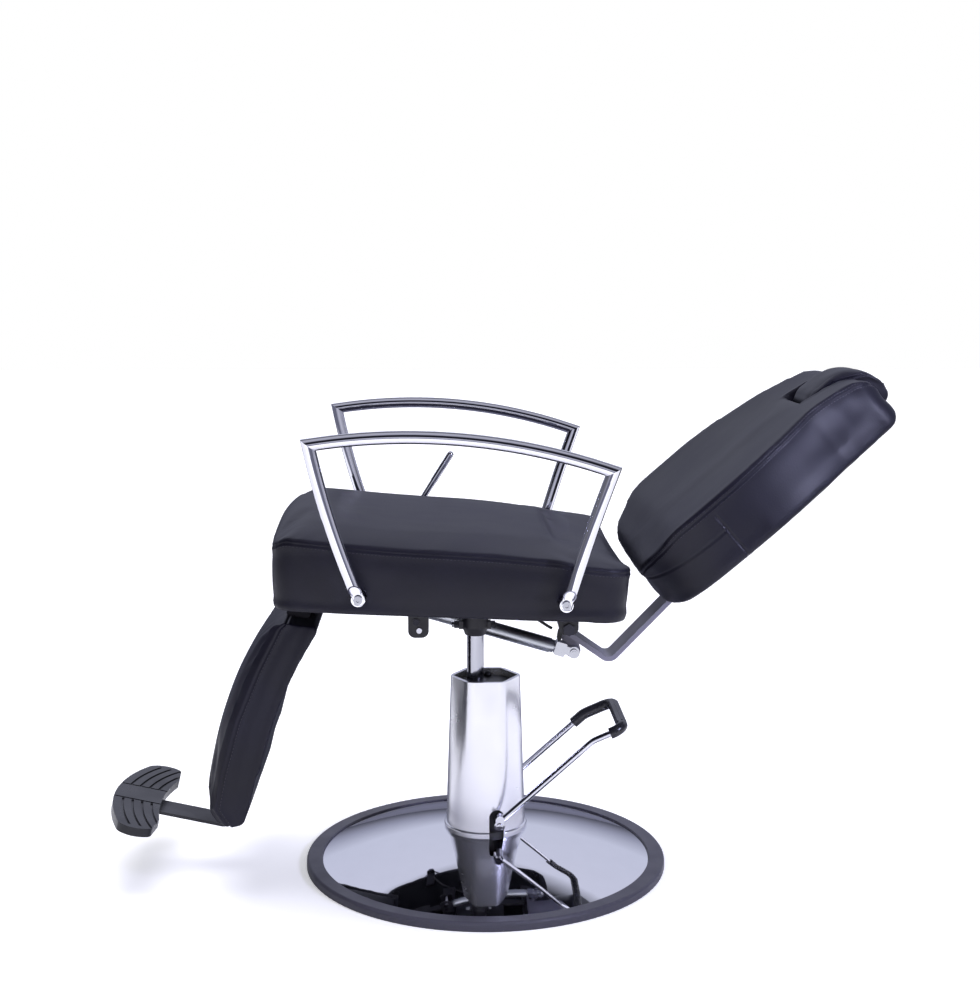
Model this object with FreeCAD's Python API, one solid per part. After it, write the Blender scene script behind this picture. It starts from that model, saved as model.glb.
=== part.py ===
import FreeCAD, Part
import math
import os

os.makedirs("parts", exist_ok=True)
V = FreeCAD.Vector
X_AXIS = V(1, 0, 0)
Y_AXIS = V(0, 1, 0)
Z_AXIS = V(0, 0, 1)

# The chair faces -Y, +X is the pedal screw side seen first, and the floor is Z = 0.

# Base disc and trim
base_radius = 300.0
trim_width = 26.0
trim_height = 15.0
trim_round = 5.0
disc_sheet = 3.0
disc_grip = 5.0
disc_edge_height = 10.5
disc_flat_radius = 70.0
disc_flat_height = 60.0
disc_crown = 5.0
disc_hole_radius = 50.0
floor_plate_thickness = 3.0

# Column cover
cover_top = 319.0
cover_corner_radius = 60.5
cover_corner_round = 20.0
cover_opening_round = 4.0
cover_share = 12.0
cover_foot_radius = 66.0
cover_lip_radius = 69.0
cover_skirt_radius = 64.6
cover_skirt_top = 113.0
cover_lip_height = 10.0
cover_lip_round = 3.0
cover_sheet = 2.0
cover_rim = 7.0
slot_width = 24.0
slot_centre_y = 16.0
slot_top = 107.0

# Pump
pump_radius = 46.0
pump_low = 10.0
pump_body_top = 110.0
pump_flange_radius = 62.0
pump_flange_thickness = 8.0
pump_bolt_circle = 56.0
pump_bolt_radius = 3.0
pump_head_flats = 9.0
pump_head_height = 4.0
pump_nut_flats = 10.0
pump_nut_height = 5.0
tank_wall = 3.0
tank_top = 300.0
cap_thickness = 9.0
lift_y = -17.0
lift_bore_radius = 16.0
lift_wall = 5.0
lift_floor = 45.0
wiper_thickness = 5.0
rod_radius = 14.0
rod_low = 185.0
piston_thickness = 14.0
seal_thickness = 6.0
running_clearance = 0.05
filler_x = -36.0
filler_y = 5.0
filler_radius = 6.0
plunger_y = 38.0
plunger_radius = 6.0
plunger_low = 44.0
plunger_collar_radius = 9.0
plunger_collar_height = 3.0
spring_wire_radius = 0.8
spring_turns = 5

# Pedal
pedal_y = 20.0
pedal_z = 88.0
pedal_shaft_radius = 7.0
pedal_shaft_reach = 74.0
hub_radius = 8.8
hub_inner_x = 70.0
hub_outer_x = 88.0
hub_lobe_radius = 7.4
hub_lobe_rise = 9.5
rocker_width = 18.0
rocker_pocket_floor = 62.0
rocker_nose_radius = 4.0
pedal_rod_radius = 5.0
pedal_screw_radius = 2.5
pedal_rod_x = 80.0
pedal_bend_y = 172.0
pedal_bend_z = 228.0
pedal_end_y = 221.0
pedal_end_z = 249.0
pedal_bend_radius = 40.0
pedal_corner_radius = 18.0
grip_wall = 4.2
grip_near_length = 23.0
grip_beyond_bend = 24.0
grip_ridge_radius = 1.8
grip_ridge_rise = 0.9
grip_ridge_turns = (45.0, 90.0, 135.0)
screw_head_radius = 5.6
screw_head_height = 2.6
screw_slot_half = 1.0
screw_slot_reach = 4.0
screw_slot_depth = 1.4

# Seat frame: raked by seat_rake about the top of the piston rod
seat_rake = 2.0
seat_z = 440.0
socket_radius = 22.0
socket_neck_radius = 16.6
socket_low = 388.0
socket_round_height = 14.0
socket_bolt_z = 405.0
socket_bolt_radius = 4.0
socket_bolt_flats = 11.0
socket_nut_height = 8.0
socket_head_height = 7.0
socket_ear_front = 5.0
socket_ear_rear = 4.0
plate_low = 8.0
plate_thickness = 6.0
plate_half_width = 85.0
plate_front = -72.0
plate_rear = 72.0
mount_bolt_radius = 4.0
mount_bolt_flats = 13.0
mount_head_height = 5.0
chassis_height = 20.0
chassis_rail_x = 60.0
chassis_rail_width = 24.0
chassis_wall = 2.0
chassis_front = -155.0
chassis_rear = 165.0
cross_member_reach = 150.0
board_thickness = 15.0
cover_beside_board = 21.0
board_front = -290.0
board_rear = 200.0
arm_rail_width = 18.0
arm_rail_height = 31.0
arm_bolt_w = 63.6
arm_bolt_front = -179.8
arm_bolt_rear = 123.3

# Seat cushion
cushion_half_width = 283.0
board_half_width = cushion_half_width - cover_beside_board
cushion_front = -313.0
cushion_front_bow = 9.0
cushion_rear = 224.0
cushion_rear_bow = 5.0
cushion_corner = 44.0
cushion_low_front = 37.0
cushion_low_rear = 31.0
cushion_crest_front = 152.0
cushion_crest_rear = 117.0
cushion_crown = 14.0
cushion_side_bow = 3.0
cushion_front_drop = 36.0
cushion_front_round = 24.0
cushion_overlap = 2.0
cushion_draw = 5.0
hinge_sweep_radius = 143.0
hinge_sweep_side_radius = 166.0

# Arms
arm_tube_radius = 9.5
arm_tube_wall = 1.8
arm_foot_gap = 27.0
arm_foot_x = cushion_half_width + arm_foot_gap
arm_lean = 4.4
arm_front_foot = (-193.0, 509.6)
arm_front_top = (-261.0, 738.6)
arm_rail_middle = (-44.0, 745.6)
arm_rear_top = (173.0, 698.4)
arm_rear_foot = (108.5, 499.5)
arm_corner_run = 16.0
arm_front_bulge = 5.5
arm_rear_bulge = 2.0
arm_foot_round = 10.6
arm_foot_lift = 2.0
arm_scoop_length = 30.0
arm_scoop_skin = 4.0
spacer_radius = 10.0
arm_bolt_radius = 4.0
bolt_head_radius = 6.4
bolt_head_height = 5.0

# Hinge and back bar
hinge_y = 133.0
hinge_z = 409.0
hinge_pin_radius = 6.0
hinge_pin_flats = 18.0
hinge_head_height = 5.0
hinge_nut_height = 7.0
hinge_thread_reach = 9.0
hinge_plate_inner_x = 58.0
hinge_plate_thickness = 5.0
hinge_plate_half = 16.0
hinge_plate_low = 399.5
bracket_corner = 12.0
bracket_web = 5.0
knuckle_radius = 11.0
knuckle_gap = 1.5
bar_half_width = 30.0
bar_thickness = 8.0
bar_drop_angle = 35.2
bar_vertex_y = 203.4
bar_vertex_z = 351.8
bar_bend_radius = 12.0
bar_pad_start = 200.0
bar_pad_end = 390.0
back_bolt_radius = 3.0
back_bolt_length = 14.0
back_bolt_head_radius = 6.5
back_bolt_head_height = 4.0
back_bolt_x = 16.0
lug_x = -56.5
lug_thickness = 4.0
lug_round = 13.0

# Gas spring
gas_x = -40.0
gas_front_y = -115.0
gas_front_z = 425.7
gas_rear_y = 150.0
gas_rear_z = 347.5
gas_tube_radius = 12.5
gas_tube_bore = 7.0
gas_tube_start = 18.0
gas_tube_end = 235.0
gas_collar_length = 6.0
gas_rod_radius = 5.0
gas_rod_start = 150.0
gas_pin_radius = 4.0
gas_eye_radius = 9.0
gas_eye_width = 16.0
head_start = 243.0
head_length = 19.0
head_half = 11.5
front_plate_thickness = 4.0
front_plate_gap = 28.0
front_plate_front = -128.5
front_plate_rear = -94.0
front_plate_low = 377.5
front_bolt_z = 404.8
front_screw_z = 390.0
front_screw_radius = 3.0
tab_thickness = 4.0
tab_length = 16.0
tab_hub_radius = 3.4
tab_hub_half = 6.0
gas_neck_radius = 6.0

# Backrest, in its own frame: s runs up the back, t towards the sitter
back_angle = 41.0
back_origin_y = 137.0
back_origin_z = 396.4
back_low = 155.0
back_low_half = 143.0
back_wide_low = 288.0
back_wide_high = 352.0
back_half_width = 250.0
back_waist = 505.0
back_waist_half = 187.0
back_shoulder = 590.0
back_shoulder_half = 163.0
back_corner = 622.0
back_corner_half = 128.0
back_top = 630.0
# Points that the arcs of its outline pass through, as half-width and s
back_foot_arc = (219.0, 198.0)
back_upper_arc = (230.0, 428.0)
back_neck_arc = (171.0, 549.0)
back_corner_arc = (152.0, 609.0)
back_front = 57.0
back_dish = 18.0
back_rear = -43.0
back_rear_crown = 16.0
back_nose = 32.0
back_end = 618.5
back_end_round = 58.0
notch_half_width = 63.0
notch_low = 526.0
back_board_thickness = 12.0
back_board_margin = 40.0
back_board_half = 85.0

# Headrest
headrest_half_width = 58.0
headrest_low = 528.5
headrest_top = 649.0
headrest_front = 48.0
headrest_rear = -50.0
post_x = 30.0
post_radius = 6.0
post_t = -8.0
post_low = 405.0
post_depth = 40.0
guide_wall = 3.0
guide_low = 390.0
post_clearance = 0.05

# Leg rest
legrest_half_width = 165.0
legrest_front_top = (-341.5, 436.0)
legrest_front_middle = (-409.0, 289.0)
legrest_front_low = (-444.5, 148.0)
legrest_toe = (-426.0, 120.5)
legrest_heel = (-394.0, 116.5)
legrest_rear_low = (-357.0, 205.0)
legrest_rear_middle = (-325.5, 311.0)
legrest_rear_top = (-264.5, 430.0)
legrest_crest_rear = (-277.0, 441.5)
legrest_crest_front = (-328.0, 447.5)
legrest_foot_rear = (-379.0, 133.0)
legrest_step = (-362.5, 204.0)
legrest_crown = 15.0
legrest_corner = 8.0
legrest_panel_thickness = 8.0
legrest_panel_margin = 12.0
legrest_board_thickness = 12.0
legrest_board_inset = 14.0
legrest_board_half = 130.0
legrest_bracket_half = 95.0
legrest_bolt_x = 14.0
legrest_bolt_radius = 3.0
# Side view of its bracket below the seat, as y and z
legrest_bracket_foot = ((-318.0, 436.0), (-283.0, 436.0))
legrest_bracket_top = (-262.0, -312.0)
legrest_bracket_flange = 4.0

# Foot rest
foot_bar_half_width = 27.5
foot_bar_thickness = 5.0
foot_tilt = 12.5
foot_tip_y = -580.0
foot_front_y = -545.0
foot_front_z = 101.0
foot_bend_y = -424.0
foot_bend_radius = 14.0
foot_bar_rise = 44.0
foot_screw_x = 14.0
foot_screw_radius = 2.5
foot_screw_head_radius = 5.0
foot_screw_head_height = 3.0
foot_plate_thickness = 14.0
foot_plate_radius = 340.0
foot_plate_front = -619.0
foot_plate_half_width = 155.0
foot_plate_depth = 78.0
foot_lobe_radius = 30.0
foot_tip_round = 12.0
foot_band_half = 34.0
foot_groove_count = 4
foot_groove_width = 4.0
foot_groove_depth = 3.0

# Recline lever and its cable
lever_gap = 14.0
lever_x = -(cushion_half_width + lever_gap)
lever_pivot_y = -175.0
lever_pivot_z = 465.0
lever_tip_y = -53.0
lever_tip_z = 658.0
lever_low_radius = 3.2
lever_tip_radius = 6.0
lever_hub_radius = 9.0
lever_hub_width = 10.0
lever_pin_radius = 4.0
lever_grip_length = 60.0
lever_bracket_half = 12.0
lever_bracket_thickness = 4.0
cable_radius = 2.5
# From the tab's stop under the board to the lever's bracket
cable_places = (
    (-22.0, 112.0, 392.0), (-22.0, 96.0, 402.0), (-22.0, 74.0, 418.0), (-30.0, 40.0, 428.0),
    (-60.0, -20.0, 433.0), (-110.0, -80.0, 440.0), (-170.0, -135.0, 447.0), (-235.0, -165.0, 452.0))


def save(name, shape):
    """Write one node and report what it holds."""
    shape.exportStep("parts/" + name + ".step")
    print(name, len(shape.Solids), round(shape.Volume / 1000.0, 1), shape.isValid())


def rod(start, end, radius):
    line = end - start
    return Part.makeCylinder(radius, line.Length, start, line)


def cone(start, end, radius_a, radius_b):
    line = end - start
    return Part.makeCone(radius_a, radius_b, line.Length, start, line)


def sleeve(start, end, outer, inner):
    return rod(start, end, outer).cut(rod(start, end, inner))


def across(x0, x1, y, z, radius):
    """Round bar along X."""
    return rod(V(x0, y, z), V(x1, y, z), radius)


def block(x0, x1, y0, y1, z0, z1):
    return Part.makeBox(x1 - x0, y1 - y0, z1 - z0, V(x0, y0, z0))


def group(shapes):
    return Part.makeCompound(shapes)


def join(shapes):
    """Weld several bodies into one solid."""
    return shapes[0].multiFuse(shapes[1:]).removeSplitter()


def line(start, end):
    return Part.LineSegment(start, end).toShape()


def arc(start, middle, end):
    return Part.Arc(start, middle, end).toShape()


def mirrored(shape):
    return shape.mirror(V(0, 0, 0), X_AXIS)


def corner_cut(before, corner, after, radius):
    """Start, middle and end of the arc that rounds one corner."""
    to_before = (before - corner).normalize()
    to_after = (after - corner).normalize()
    half = to_before.getAngle(to_after) / 2.0
    setback = radius / math.tan(half)
    inward = (to_before + to_after).normalize()
    middle = corner + inward * (radius / math.sin(half) - radius)
    return corner + to_before * setback, middle, corner + to_after * setback


def rounded_outline(points, radii):
    """Closed wire through the corners, each rounded to its own radius."""
    cuts = []
    for index, corner in enumerate(points):
        if radii[index] == 0:
            cuts.append((corner, None, corner))
        else:
            after = points[(index + 1) % len(points)]
            cuts.append(corner_cut(points[index - 1], corner, after, radii[index]))
    edges = []
    for index, (start, middle, end) in enumerate(cuts):
        if middle is not None:
            edges.append(arc(start, middle, end))
        following = cuts[(index + 1) % len(cuts)][0]
        if (following - end).Length > 1e-6:
            edges.append(line(end, following))
    return Part.Wire(edges)


def plate(points, radii, thickness):
    """Flat plate from a rounded outline, as thick as the vector says."""
    return Part.Face(rounded_outline(points, radii)).extrude(thickness)


def side_plate(x0, x1, corners, radii):
    """Plate in a plane across X, from (y, z) corners."""
    return plate([V(x0, y, z) for y, z in corners], radii, V(x1 - x0, 0, 0))


def routed(points, radii):
    """Open path through the points, with tangent arcs at the inner ones."""
    edges = []
    last = points[0]
    for index in range(1, len(points) - 1):
        before, corner, after = points[index - 1:index + 2]
        start, middle, end = corner_cut(before, corner, after, radii[index - 1])
        edges.append(line(last, start))
        edges.append(arc(start, middle, end))
        last = end
    edges.append(line(last, points[-1]))
    return Part.Wire(edges)


def swept(path, radius):
    """Round bar along a path."""
    first = path.OrderedEdges[0]
    start = first.valueAt(first.FirstParameter)
    direction = first.tangentAt(first.FirstParameter)
    if (start - path.OrderedVertexes[0].Point).Length > 1e-6:
        start = first.valueAt(first.LastParameter)
        direction = first.tangentAt(first.LastParameter) * -1
    ring = Part.Wire(Part.makeCircle(radius, start, direction))
    return path.makePipeShell([ring], True, False)


def strip(x0, x1, path, thickness, bend_radius):
    """Flat bar bent along (y, z) points; the points are its upper face."""
    upper = [V(x0, y, z) for y, z in path]
    directions = [(upper[i + 1] - upper[i]).normalize() for i in range(len(upper) - 1)]
    normals = [V(0, d.z, -d.y) for d in directions]
    lower = []
    upper_radii = []
    lower_radii = []
    for index, point in enumerate(upper):
        before = normals[max(index - 1, 0)]
        after = normals[min(index, len(normals) - 1)]
        lower.append(point + (before + after) * (thickness / (1.0 + before.dot(after))))
        if index in (0, len(upper) - 1):
            upper_radii.append(0)
            lower_radii.append(0)
        else:
            turn = directions[index - 1].cross(directions[index]).x
            upper_radii.append(bend_radius if turn > 0 else bend_radius + thickness)
            lower_radii.append(bend_radius + thickness if turn > 0 else bend_radius)
    outline = upper + lower[::-1]
    return plate(outline, upper_radii + lower_radii[::-1], V(x1 - x0, 0, 0))


def hex_prism(centre, direction, across_flats, height):
    """Hexagonal nut or head standing on its centre point."""
    prism = Part.makePolygon([
        V(across_flats / math.sqrt(3) * math.cos(math.radians(60 * i)),
          across_flats / math.sqrt(3) * math.sin(math.radians(60 * i)), 0)
        for i in range(7)
    ])
    solid = Part.Face(prism).extrude(V(0, 0, height))
    solid.Placement = FreeCAD.Placement(centre, FreeCAD.Rotation(Z_AXIS, direction))
    return solid


def raked(shape):
    """Carry a shape from the seat's own frame into the chair."""
    turned = shape.copy()
    turned.rotate(V(0, 0, 0), X_AXIS, -seat_rake)
    turned.translate(V(0, lift_y, seat_z))
    return turned


def seat_point(x, y, w):
    """A point given in the seat's own frame."""
    angle = math.radians(-seat_rake)
    world_y = y * math.cos(angle) - w * math.sin(angle) + lift_y
    world_z = y * math.sin(angle) + w * math.cos(angle) + seat_z
    return V(x, world_y, world_z)


def back_point(x, s, t):
    """A point given in the backrest's own frame."""
    angle = math.radians(back_angle)
    world_y = back_origin_y + s * math.cos(angle) - t * math.sin(angle)
    world_z = back_origin_z + s * math.sin(angle) + t * math.cos(angle)
    return V(x, world_y, world_z)


def reclined(shape):
    """Carry a shape drawn with s along Y and t along Z into the backrest."""
    turned = shape.copy()
    turned.rotate(V(0, 0, 0), X_AXIS, back_angle)
    turned.translate(V(0, back_origin_y, back_origin_z))
    return turned


# Heights and lines that several pieces share
disc_edge_radius = base_radius - trim_width + disc_grip
trim_inner = base_radius - trim_width
chassis_low = plate_low + plate_thickness
chassis_top = chassis_low + chassis_height
board_top = chassis_top + board_thickness
pump_seat = disc_flat_height
cap_top = tank_top + cap_thickness
gas_front = V(gas_x, gas_front_y, gas_front_z)
gas_rear = V(gas_x, gas_rear_y, gas_rear_z)
gas_line = (gas_rear - gas_front).normalize()
gas_length = (gas_rear - gas_front).Length
gas_normal = V(0, -gas_line.z, gas_line.y)
arm_rail_outer = board_half_width


def base_disc():
    """Spun sheet, flat round the column and falling to the trim in one shallow arc."""
    middle_radius = (disc_flat_radius + disc_edge_radius) / 2.0
    middle_height = (disc_flat_height + disc_edge_height) / 2.0 + disc_crown
    down = V(0, 0, -disc_sheet)
    hole_rim = V(disc_hole_radius, 0, disc_flat_height)
    flat_rim = V(disc_flat_radius, 0, disc_flat_height)
    middle = V(middle_radius, 0, middle_height)
    edge = V(disc_edge_radius, 0, disc_edge_height)
    section = Part.Wire([
        line(hole_rim, flat_rim),
        arc(flat_rim, middle, edge),
        line(edge, edge + down),
        arc(edge + down, middle + down, flat_rim + down),
        line(flat_rim + down, hole_rim + down),
        line(hole_rim + down, hole_rim),
    ])
    disc = Part.Face(section).revolve(V(0, 0, 0), Z_AXIS, 360)
    for hole in pump_bolt_places():
        disc = disc.cut(rod(hole + V(0, 0, -20), hole + V(0, 0, 20), pump_bolt_radius))
    return disc


def pump_bolt_places():
    places = []
    for quarter in range(4):
        angle = math.radians(45 + 90 * quarter)
        places.append(V(pump_bolt_circle * math.cos(angle), pump_bolt_circle * math.sin(angle), pump_seat))
    return places


def base_trim_ring():
    outline = [
        V(trim_inner, 0, 0),
        V(base_radius, 0, 0),
        V(base_radius, 0, trim_height),
        V(trim_inner, 0, trim_height),
    ]
    section = rounded_outline(outline, [0, 1.5, trim_round, 1.2])
    ring = Part.Face(section).revolve(V(0, 0, 0), Z_AXIS, 360)
    return ring.cut(base_disc())


def base_floor_plate():
    return Part.makeCylinder(trim_inner, floor_plate_thickness)


def hexagon_wire(corner_radius, rounding, z):
    corners = []
    for index in range(6):
        angle = math.radians(30 + 60 * index)
        corners.append(V(corner_radius * math.cos(angle), corner_radius * math.sin(angle), z))
    return rounded_outline(corners, [rounding] * 6)


def split_circle_wire(radius, share, z):
    """Circle in twelve arcs that meet the corners and flats of the hexagon."""
    edges = []
    for index in range(6):
        middle = 30 + 60 * index
        for start, end in ((middle - share, middle + share), (middle + share, middle + 60 - share)):
            points = []
            for angle in (start, (start + end) / 2.0, end):
                turn = math.radians(angle)
                points.append(V(radius * math.cos(turn), radius * math.sin(turn), z))
            edges.append(arc(points[0], points[1], points[2]))
    return Part.Wire(edges)


def cover_form(inset, low, high):
    """The column's form moved inwards by the inset: a round skirt that turns into a hexagon."""
    foot = cover_foot_radius - inset
    waist = cover_skirt_radius - inset
    top = cover_corner_radius - inset / math.cos(math.radians(30))
    skirt = Part.makeCone(foot, waist, cover_skirt_top - low, V(0, 0, low))
    circle = split_circle_wire(waist, cover_share, cover_skirt_top)
    hexagon = hexagon_wire(top, cover_corner_round - inset, high)
    return skirt.fuse(Part.makeLoft([circle, hexagon], True, True))


def column_cover():
    lip_top = disc_flat_height + cover_lip_height
    outer = cover_form(0, lip_top, cover_top)
    inner = cover_form(cover_sheet, lip_top, cover_top - cover_sheet)
    below_rim = cover_top - 3 * cover_sheet
    opening = Part.Face(hexagon_wire(cover_corner_radius - cover_rim, cover_opening_round, below_rim))
    shell = outer.cut(inner).cut(opening.extrude(V(0, 0, 6 * cover_sheet)))
    lip_section = rounded_outline([
        V(cover_foot_radius - cover_sheet, 0, disc_flat_height),
        V(cover_lip_radius, 0, disc_flat_height),
        V(cover_lip_radius, 0, lip_top),
        V(cover_foot_radius - cover_sheet, 0, lip_top),
    ], [0, 0, cover_lip_round, 0])
    lip = Part.Face(lip_section).revolve(V(0, 0, 0), Z_AXIS, 360)
    shell = join([shell, lip])
    half = slot_width / 2.0
    for side in (-1, 1):
        x0 = side * (cover_foot_radius - 30)
        x1 = side * (cover_lip_radius + 10)
        slot = side_plate(x0, x1, [
            (slot_centre_y - half, disc_flat_height - 5),
            (slot_centre_y + half, disc_flat_height - 5),
            (slot_centre_y + half, slot_top),
            (slot_centre_y - half, slot_top),
        ], [0, 0, half * 0.98, half * 0.98])
        shell = shell.cut(slot)
    return shell


def pump_base():
    body = Part.makeCylinder(pump_radius, pump_body_top - pump_low, V(0, 0, pump_low))
    flange = Part.makeCylinder(pump_flange_radius, pump_flange_thickness, V(0, 0, pump_seat))
    body = join([body, flange])
    body = body.cut(across(-pump_radius - 20, pump_radius + 20, pedal_y, pedal_z,
                           pedal_shaft_radius + running_clearance))
    lift_outer = lift_bore_radius + lift_wall
    body = body.cut(rod(V(0, lift_y, lift_floor), V(0, lift_y, pump_body_top + 1), lift_outer))
    half = rocker_width / 2.0 + 0.5
    pocket = block(-half, half, pedal_y - 11, pump_radius + 20, rocker_pocket_floor, pump_body_top + 1)
    body = body.cut(pocket)
    bore = plunger_radius + running_clearance
    body = body.cut(rod(V(0, plunger_y, plunger_low - 12), V(0, plunger_y, pump_body_top), bore))
    for hole in pump_bolt_places():
        body = body.cut(rod(hole + V(0, 0, -1), hole + V(0, 0, 20), pump_bolt_radius))
    return body


def reservoir_tube():
    return sleeve(V(0, 0, pump_body_top), V(0, 0, tank_top), pump_radius, pump_radius - tank_wall)


def lift_cylinder():
    outer = lift_bore_radius + lift_wall
    tube = rod(V(0, lift_y, lift_floor), V(0, lift_y, tank_top), outer)
    return tube.cut(rod(V(0, lift_y, lift_floor + lift_wall), V(0, lift_y, tank_top + 1), lift_bore_radius))


def pump_cap():
    cap = Part.makeCylinder(pump_radius, cap_thickness, V(0, 0, tank_top))
    cap = cap.makeFillet(2.0, [e for e in cap.Edges if abs(e.BoundBox.ZMin - cap_top) < 1e-6 and e.Closed])
    wiper_seat = lift_bore_radius + 2.0
    cap = cap.cut(rod(V(0, lift_y, tank_top - 1), V(0, lift_y, cap_top + 1), rod_radius + 0.5))
    cap = cap.cut(rod(V(0, lift_y, cap_top - wiper_thickness), V(0, lift_y, cap_top + 1), wiper_seat))
    low = V(filler_x, filler_y, tank_top - 1)
    return cap.cut(rod(low, V(filler_x, filler_y, cap_top + 1), filler_radius / 2.0))


def rod_wiper():
    seat = lift_bore_radius + 2.0
    low = cap_top - wiper_thickness
    ring = sleeve(V(0, lift_y, low), V(0, lift_y, cap_top + 1.5), seat, rod_radius + running_clearance)
    return ring


def filler_plug():
    stem = rod(V(filler_x, filler_y, tank_top + 1), V(filler_x, filler_y, cap_top), filler_radius / 2.0)
    dome = Part.makeSphere(filler_radius, V(filler_x, filler_y, cap_top + 2))
    dome = dome.cut(block(filler_x - 20, filler_x + 20, filler_y - 20, filler_y + 20, cap_top - 20, cap_top))
    return join([stem, dome])


def pump_bolts():
    bolts = []
    head_seat = pump_seat + pump_flange_thickness
    for hole in pump_bolt_places():
        low = pump_seat - disc_sheet - pump_nut_height
        shank = rod(V(hole.x, hole.y, low - 3), V(hole.x, hole.y, head_seat), pump_bolt_radius)
        head = hex_prism(V(hole.x, hole.y, head_seat), Z_AXIS, pump_head_flats, pump_head_height)
        nut = hex_prism(V(hole.x, hole.y, low), Z_AXIS, pump_nut_flats, pump_nut_height)
        bolts.append(join([shank, head, nut]))
    return group(bolts)


def rocker_nose():
    """Centre of the rocker's round nose, resting on the plunger."""
    return V(0, plunger_y, pedal_z + 1.0)


def pedal_shaft():
    shaft = across(-pedal_shaft_reach, pedal_shaft_reach, pedal_y, pedal_z, pedal_shaft_radius)
    half = rocker_width / 2.0
    nose = rocker_nose()
    sleeve_part = across(-half, half, pedal_y, pedal_z, pedal_shaft_radius + 2.0)
    arm = side_plate(-half, half, [
        (pedal_y, pedal_z + 6), (pedal_y, pedal_z),
        (nose.y, nose.z - rocker_nose_radius + 1.5), (nose.y, nose.z + rocker_nose_radius - 0.5),
    ], [0, 0, 0, 0])
    tip = across(-half, half, nose.y, nose.z, rocker_nose_radius)
    return join([shaft, sleeve_part, arm, tip])


def pump_plunger():
    """Stem in the pump bore, with a collar for the spring and a domed top under the rocker."""
    nose = rocker_nose()
    top = nose.z - rocker_nose_radius
    stem = rod(V(0, plunger_y, plunger_low), V(0, plunger_y, top), plunger_radius)
    collar_low = top - plunger_collar_height
    collar = rod(V(0, plunger_y, collar_low), V(0, plunger_y, top), plunger_collar_radius - 1.0)
    return join([stem, collar])


def plunger_spring():
    nose = rocker_nose()
    high = nose.z - rocker_nose_radius - plunger_collar_height - spring_wire_radius
    low = rocker_pocket_floor + spring_wire_radius
    coil_radius = plunger_radius + spring_wire_radius + 0.4
    coil = Part.makeHelix((high - low) / spring_turns, high - low, coil_radius)
    ring = Part.Wire(Part.makeCircle(spring_wire_radius, V(coil_radius, 0, 0), Y_AXIS))
    wire = Part.Wire(coil.Edges).makePipeShell([ring], True, True)
    wire.translate(V(0, plunger_y, low))
    return wire


def pedal_path(side):
    """Half of the U-shaped lever, from its hub to the middle of the cross part."""
    return [
        V(side * pedal_rod_x, pedal_y + 4.0, pedal_z + hub_lobe_rise - 2.0),
        V(side * pedal_rod_x, pedal_bend_y, pedal_bend_z),
        V(side * pedal_rod_x, pedal_end_y, pedal_end_z),
    ]


def pedal_wire():
    near = pedal_path(1)
    far = pedal_path(-1)
    points = near + far[::-1]
    radii = [pedal_bend_radius, pedal_corner_radius, pedal_corner_radius, pedal_bend_radius]
    return routed(points, radii)


def pedal_rods():
    return swept(pedal_wire(), pedal_rod_radius)


def pedal_grip():
    """Moulded rubber over the cross part, past the bend on the far leg, with ridges along it."""
    near = pedal_path(1)
    far = pedal_path(-1)
    leg = (near[1] - near[2]).normalize()
    upright = (far[0] - far[1]).normalize()
    near_end = near[2] + leg * grip_near_length
    far_end = far[1] + upright * grip_beyond_bend
    points = [near_end, near[2], far[2], far[1], far_end]
    path = routed(points, [pedal_corner_radius, pedal_corner_radius, pedal_bend_radius])
    grip_radius = pedal_rod_radius + grip_wall
    grip = swept(path, grip_radius)
    reach = pedal_rod_x - pedal_corner_radius
    offset = grip_radius + grip_ridge_rise - grip_ridge_radius
    ridges = []
    for turn in grip_ridge_turns:
        y = pedal_end_y - offset * math.cos(math.radians(turn))
        z = pedal_end_z + offset * math.sin(math.radians(turn))
        ridges.append(across(-reach, reach, y, z, grip_ridge_radius))
    grip = grip.multiFuse(ridges)
    return grip.cut(pedal_rods())


def pedal_hubs():
    hubs = []
    rods = pedal_rods()
    for side in (-1, 1):
        x0 = side * hub_inner_x
        x1 = side * hub_outer_x
        boss = across(x0, x1, pedal_y, pedal_z, hub_radius)
        lobe = across(x0, x1, pedal_y + 1.0, pedal_z + hub_lobe_rise, hub_lobe_radius)
        waist = block(min(x0, x1), max(x0, x1), pedal_y - 6.0, pedal_y + 7.0, pedal_z, pedal_z + hub_lobe_rise)
        hub = join([boss, waist, lobe]).cut(rods)
        shaft_end = side * pedal_shaft_reach
        hub = hub.cut(across(x0 - side, shaft_end, pedal_y, pedal_z, pedal_shaft_radius))
        hub = hub.cut(across(x0, x1 + side, pedal_y, pedal_z, pedal_screw_radius))
        hubs.append(hub)
    return group(hubs)


def lies_at_x(edge, x):
    """Whether an edge lies in the plane at one X."""
    box = edge.BoundBox
    return abs(box.XMin - x) < 1e-3 and abs(box.XMax - x) < 1e-3


def pedal_screws():
    screws = []
    for side in (-1, 1):
        face = side * hub_outer_x
        outside = face + side * screw_head_height
        shank = across(side * pedal_shaft_reach, face, pedal_y, pedal_z, pedal_screw_radius)
        head = across(face, outside, pedal_y, pedal_z, screw_head_radius)
        head = head.makeFillet(1.0, [edge for edge in head.Edges if lies_at_x(edge, outside)])
        thin = screw_slot_half
        long = screw_slot_reach
        cross = block(-30, 30, -thin, thin, -long, long).fuse(block(-30, 30, -long, long, -thin, thin))
        cross.translate(V(outside + side * (30.0 - screw_slot_depth), pedal_y, pedal_z))
        screws.append(join([shank, head]).cut(cross))
    return group(screws)


def piston_rod():
    """Plain rod with the cross hole that the socket bolt goes through."""
    hole = rod(V(0, lift_y - 60, socket_bolt_z), V(0, lift_y + 60, socket_bolt_z), socket_bolt_radius)
    return rod(V(0, lift_y, rod_low), V(0, lift_y, seat_z), rod_radius).cut(hole)


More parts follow.
